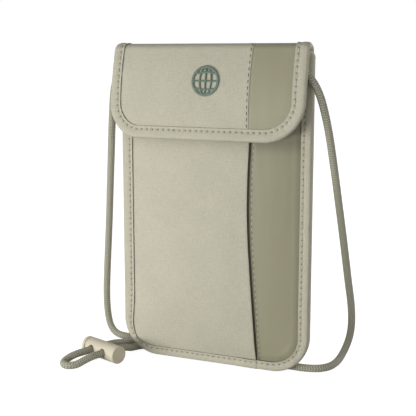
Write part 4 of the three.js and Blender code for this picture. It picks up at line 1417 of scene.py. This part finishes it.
def lock():
    barrel_profile = [(14.4, 0), (14.4, 4.7), (-12, 4.7), (-12, 5.7), (15.9, 5.7), (15.9, 0)]
    barrel = lathe("barrel", rounded_profile(barrel_profile, 0.7), LOCK_CENTRE, LOCK_AXIS, PLASTIC)
    finish_piece(drilled(barrel, 1.0), "lock_plastic", "lock", "lock_barrel")
    plunger_profile = [(-15.55, 0), (-15.4, 5.7), (-13.0, 5.7), (-13.0, 4.3), (10.0, 4.3), (10.0, 0)]
    plunger = lathe("plunger", rounded_profile(plunger_profile, 0.7), LOCK_CENTRE, LOCK_AXIS, PLASTIC)
    stretch = (HOLE_RADIUS + 0.8) / HOLE_RADIUS  # its holes are longer, so that it can be pressed
    finish_piece(drilled(plunger, stretch), "lock_plastic", "plunger", "lock_plunger")
    turns = np.linspace(0, 4, 97)
    wire = 0.42
    angle = 2 * math.pi * turns
    rise = 11.1 + wire + (3.0 - 2 * wire) * turns / 4
    helix = (LOCK_CENTRE + rise[:, None] * LOCK_AXIS + 2.95 * np.cos(angle)[:, None] * LOCK_ACROSS
             + 2.95 * np.sin(angle)[:, None] * np.array([0, 0, 1]))
    spring = round_tube("spring_coil", helix, wire, SPRING_STEEL, 12)
    finish_piece(spring, "spring_steel", "lock", "lock_spring")
    return [bpy.data.objects[n] for n in ("barrel", "plunger", "spring_coil")]


def round_tube(name, line, radius, material, around, shape=None):
    """A tube round a line. shape(angle, along) changes the radius, in millimetres."""
    _, side, up = frames_along(line)
    angle = np.linspace(0, 2 * math.pi, around, endpoint=False)
    run = lengths_along(line)
    girth = radius + (0 if shape is None else shape(angle[None], run[:, None]))
    girth = np.broadcast_to(girth, (len(line), around))
    rings = line[:, None] + girth[..., None] * (np.cos(angle)[None, :, None] * side[:, None]
                                                + np.sin(angle)[None, :, None] * up[:, None])
    uv = np.stack(np.meshgrid(run, np.linspace(0, 1, around + 1), indexing="ij"), -1)[..., ::-1]
    return tube(name, rings, uv, material)


lock_pieces = lock()


# ---------- neck cord ----------
CORD = 4.6
LEFT_ROUTE = [
    (-51.65, -5.42, 186.69), (-55.3, -6.8, 185.4), (-59.2, -7.4, 183.0), (-62.5, -7.1, 179.2),
    (-65.0, -6.5, 174.2), (-66.6, -5.7, 167), (-67.8, -4.9, 157.5), (-69.1, -3.8, 148.1),
    (-71.2, -1.4, 133), (-74.4, 2.3, 113), (-78.3, 7.2, 91), (-82.2, 11.7, 69), (-86.2, 16.4, 48),
    (-88.8, 19.7, 32), (-90.0, 22.2, 20), (-89.8, 23.3, 13), (-88.5, 23.2, 7.9), (-85.6, 22.2, 4.4),
    (-81.2, 20.4, 2.7), (-75.8, 18.9, 2.3), (-70.2, 19.2, 2.3), (-64.2, 23.0, 2.4), (-58.6, 28.4, 2.8),
    (-53.8, 33.4, 3.3)]
STRAND_ROUTE = [
    (-40, 15.2, 4.5), (-46, 14.8, 3.2), (-53.5, 13.2, 2.4), (-60.4, 9.8, 2.5), (-64.9, 4.2, 3.4),
    lock_point(-5.65, 19, 4.7), lock_point(-5.65, 15.5, 5.4), lock_point(-5.65, 11.5, 5.7),
    lock_point(-5.65, 0, 5.7), lock_point(-5.65, -13.5, 5.7), lock_point(-6.4, -18.5, 5.1),
    lock_point(-7.1, -22.6, 3.8), lock_point(-6.1, -26.7, 2.7), lock_point(-2.6, -29.1, 2.35),
    lock_point(1.4, -28.1, 2.35), lock_point(3.9, -24.2, 2.8), lock_point(4.9, -19.2, 4.4),
    lock_point(5.65, -13.5, 5.7), lock_point(5.65, 0, 5.7), lock_point(5.65, 11.5, 5.7), (-58.0, -9.3, 4.8),
    (-57.6, -5.0, 3.3), (-57.2, -0.9, 2.5), (-55.5, 3.2, 2.3), (-51.9, 6.1, 2.3), (-46.8, 7.4, 2.3),
    (-40, 7.6, 2.3), (-26, 7.0, 2.3), (-10, 6.5, 2.3), (10, 6.4, 2.3), (30, 6.3, 2.3), (48, 6.2, 2.3),
    (59, 6.3, 2.3), (66.4, 8.6, 2.3), (71.2, 14.2, 2.3), (73.0, 21.5, 2.3), (73.4, 29, 2.3),
    (74.0, 35.0, 3.9), (75.2, 39.0, 7.6), (76.7, 40.6, 12.8), (78.1, 39.6, 19), (79.2, 36.8, 27),
    (79.6, 32.8, 38), (78.8, 27, 55), (77.0, 20, 81.5), (75.3, 14, 104), (73.6, 8, 126), (71.8, 2.4, 146),
    (70.2, -1.9, 159), (68.0, -5.2, 169.5), (65.4, -6.6, 175.6), (62.7, -7.2, 179.6), (59.2, -7.4, 183.0),
    (55.3, -6.8, 185.4), (51.65, -5.42, 186.69)]


def coil_route():
    """Three and three quarter turns: outer below, inner below, inner above, outer above."""
    ring_low, ring_high = low("cord_coil"), high("cord_coil")
    centre = (ring_low + ring_high) / 2
    middle_radius = (ring_high[0] - ring_low[0]) / 2 - CORD
    route = []
    for turn in np.linspace(0, 3.72, 75):
        angle = math.pi - 2 * math.pi * turn
        inward = smooth((turn - 0.84) / 0.16) - smooth((turn - 2.72) / 0.16)
        upward = smooth((turn - 1.78) / 0.16)
        radius = middle_radius + CORD / 2 - CORD * inward + 0.7 * smooth((turn - 3.56) / 0.12)
        over_tie = bell(abs((math.degrees(angle) - 90 + 180) % 360 - 180), 38)
        z = CORD / 2 + ring_low[2] * over_tie + CORD * upward
        route.append((centre[0] + radius * math.cos(angle), centre[1] + radius * math.sin(angle), z))
    return [*route, (-27.0, 15.6, 6.7), (-33.5, 15.4, 5.8)]


def braid_shape(angle, along):
    turn = angle / (2 * math.pi) * BRAID_ROWS
    slant = 1 - np.abs(2 * (turn % 1) - 1)
    ridge = np.abs(np.sin(math.pi * (along / BRAID_STEP + BRAID_SLANT * slant)))
    return 0.11 * ridge * (0.5 + 0.5 * np.sin(math.pi * slant)) - 0.05


cord_line = smooth_curve(LEFT_ROUTE + coil_route() + STRAND_ROUTE, 0.3, 50)
neck_cord = round_tube("neck_cord_braid", cord_line, CORD / 2, BRAID, 36, braid_shape)
finish_piece(neck_cord, "braided_cord", "pouch", "cord_left", "cord_right", "cord_coil")


def tie_strap():
    """A hook-and-loop strap round the coil, its free end lapped on top."""
    tie_low, tie_high = low("cord_tie"), high("cord_tie")
    centre = (tie_low + tie_high) / 2
    half_y = (tie_high[1] - tie_low[1]) / 2 - 0.45
    half_z = (tie_high[2] - tie_low[2]) / 2 - 0.45
    angle = np.linspace(0.15, 2 * math.pi + 1.0, 90)
    lap = smooth((angle - 2 * math.pi + 0.2) / 0.5)
    c, s = np.cos(angle), np.sin(angle)
    round_off = 0.55
    y = np.sign(c) * np.abs(c) ** round_off * (half_y - 0.35 + 0.35 * lap)
    z = np.sign(s) * np.abs(s) ** round_off * (half_z - 0.5 + 0.75 * lap)
    line = centre + stack(0 * y, y, z)
    even = smooth_curve(line[::3], 0.8)
    across = np.broadcast_to(np.array([1.0, 0, 0]), even.shape)
    return strap("tie_strap", even, 9.0, 0.6, across, HOOK_PILE)


tie = finish_piece(tie_strap(), "hook_and_loop", "pouch", "cord_tie")


# ---------- stage and light ----------
def add_floor():
    mesh = bpy.data.meshes.new("floor")
    size = 40.0
    corners = [(-size, -size, 0), (size, -size, 0), (size, size, 0), (-size, size, 0)]
    mesh.from_pydata(corners, [], [(0, 1, 2, 3)])
    floor = bpy.data.objects.new("floor", mesh)
    floor.location.z = -0.0002
    bpy.context.scene.collection.objects.link(floor)
    shader = Shader("pale floor", (0.45, 0.45, 0.45), 0.9)
    seen = shader.node("ShaderNodeLightPath").outputs["Is Camera Ray"]
    shader.set("Emission Color", (1, 1, 1, 1))
    shader.set("Emission Strength", shader.math("MULTIPLY", seen, 0.92))
    mesh.materials.append(shader.material)


def add_light(name, place, target, size, power):
    data = bpy.data.lights.new(name, "AREA")
    data.shape = "RECTANGLE"
    data.size, data.size_y = size
    data.energy = power
    light = bpy.data.objects.new(name, data)
    light.location = place
    aim = np.array(target, float) - np.array(place, float)
    yaw = math.atan2(aim[0], -aim[1])
    light.rotation_euler = (math.atan2(math.hypot(aim[0], aim[1]), -aim[2]), 0, math.pi + yaw)
    bpy.context.scene.collection.objects.link(light)


AMBIENT = 0.92  # strength of the white surroundings as a light, level with the object and below it
AMBIENT_ABOVE = 0.12  # the same, straight above
LIGHTS = {  # place, size and power
    "key": ((-0.3, -0.5, 0.06), (0.45, 0.1), 2.3),
    "right": ((0.6, -0.7, 0.08), (0.4, 0.4), 0.5),
    "back": ((0.35, 0.9, 0.2), (0.6, 0.4), 4.0),
}


def add_lighting():
    world = bpy.data.worlds.new("studio")
    world.use_nodes = True
    tree = world.node_tree
    background = tree.nodes["Background"]
    background.inputs["Color"].default_value = (1, 1, 1, 1)
    seen = tree.nodes.new("ShaderNodeLightPath")
    around = tree.nodes.new("ShaderNodeTexCoord")
    upward = tree.nodes.new("ShaderNodeSeparateXYZ")
    ambient = tree.nodes.new("ShaderNodeMapRange")
    ambient.inputs["To Min"].default_value = AMBIENT
    ambient.inputs["To Max"].default_value = AMBIENT_ABOVE
    strength = tree.nodes.new("ShaderNodeMapRange")
    strength.inputs["To Max"].default_value = 1.0
    tree.links.new(around.outputs["Generated"], upward.inputs["Vector"])
    tree.links.new(upward.outputs["Z"], ambient.inputs["Value"])
    tree.links.new(ambient.outputs["Result"], strength.inputs["To Min"])
    tree.links.new(seen.outputs["Is Camera Ray"], strength.inputs["Value"])
    tree.links.new(strength.outputs["Result"], background.inputs["Strength"])
    bpy.context.scene.world = world
    centre = (0, 0, 0.1)
    for name, (place, size, power) in LIGHTS.items():
        add_light(name, place, centre, size, power)
    bpy.context.scene.view_settings.view_transform = "Standard"


add_floor()
add_lighting()
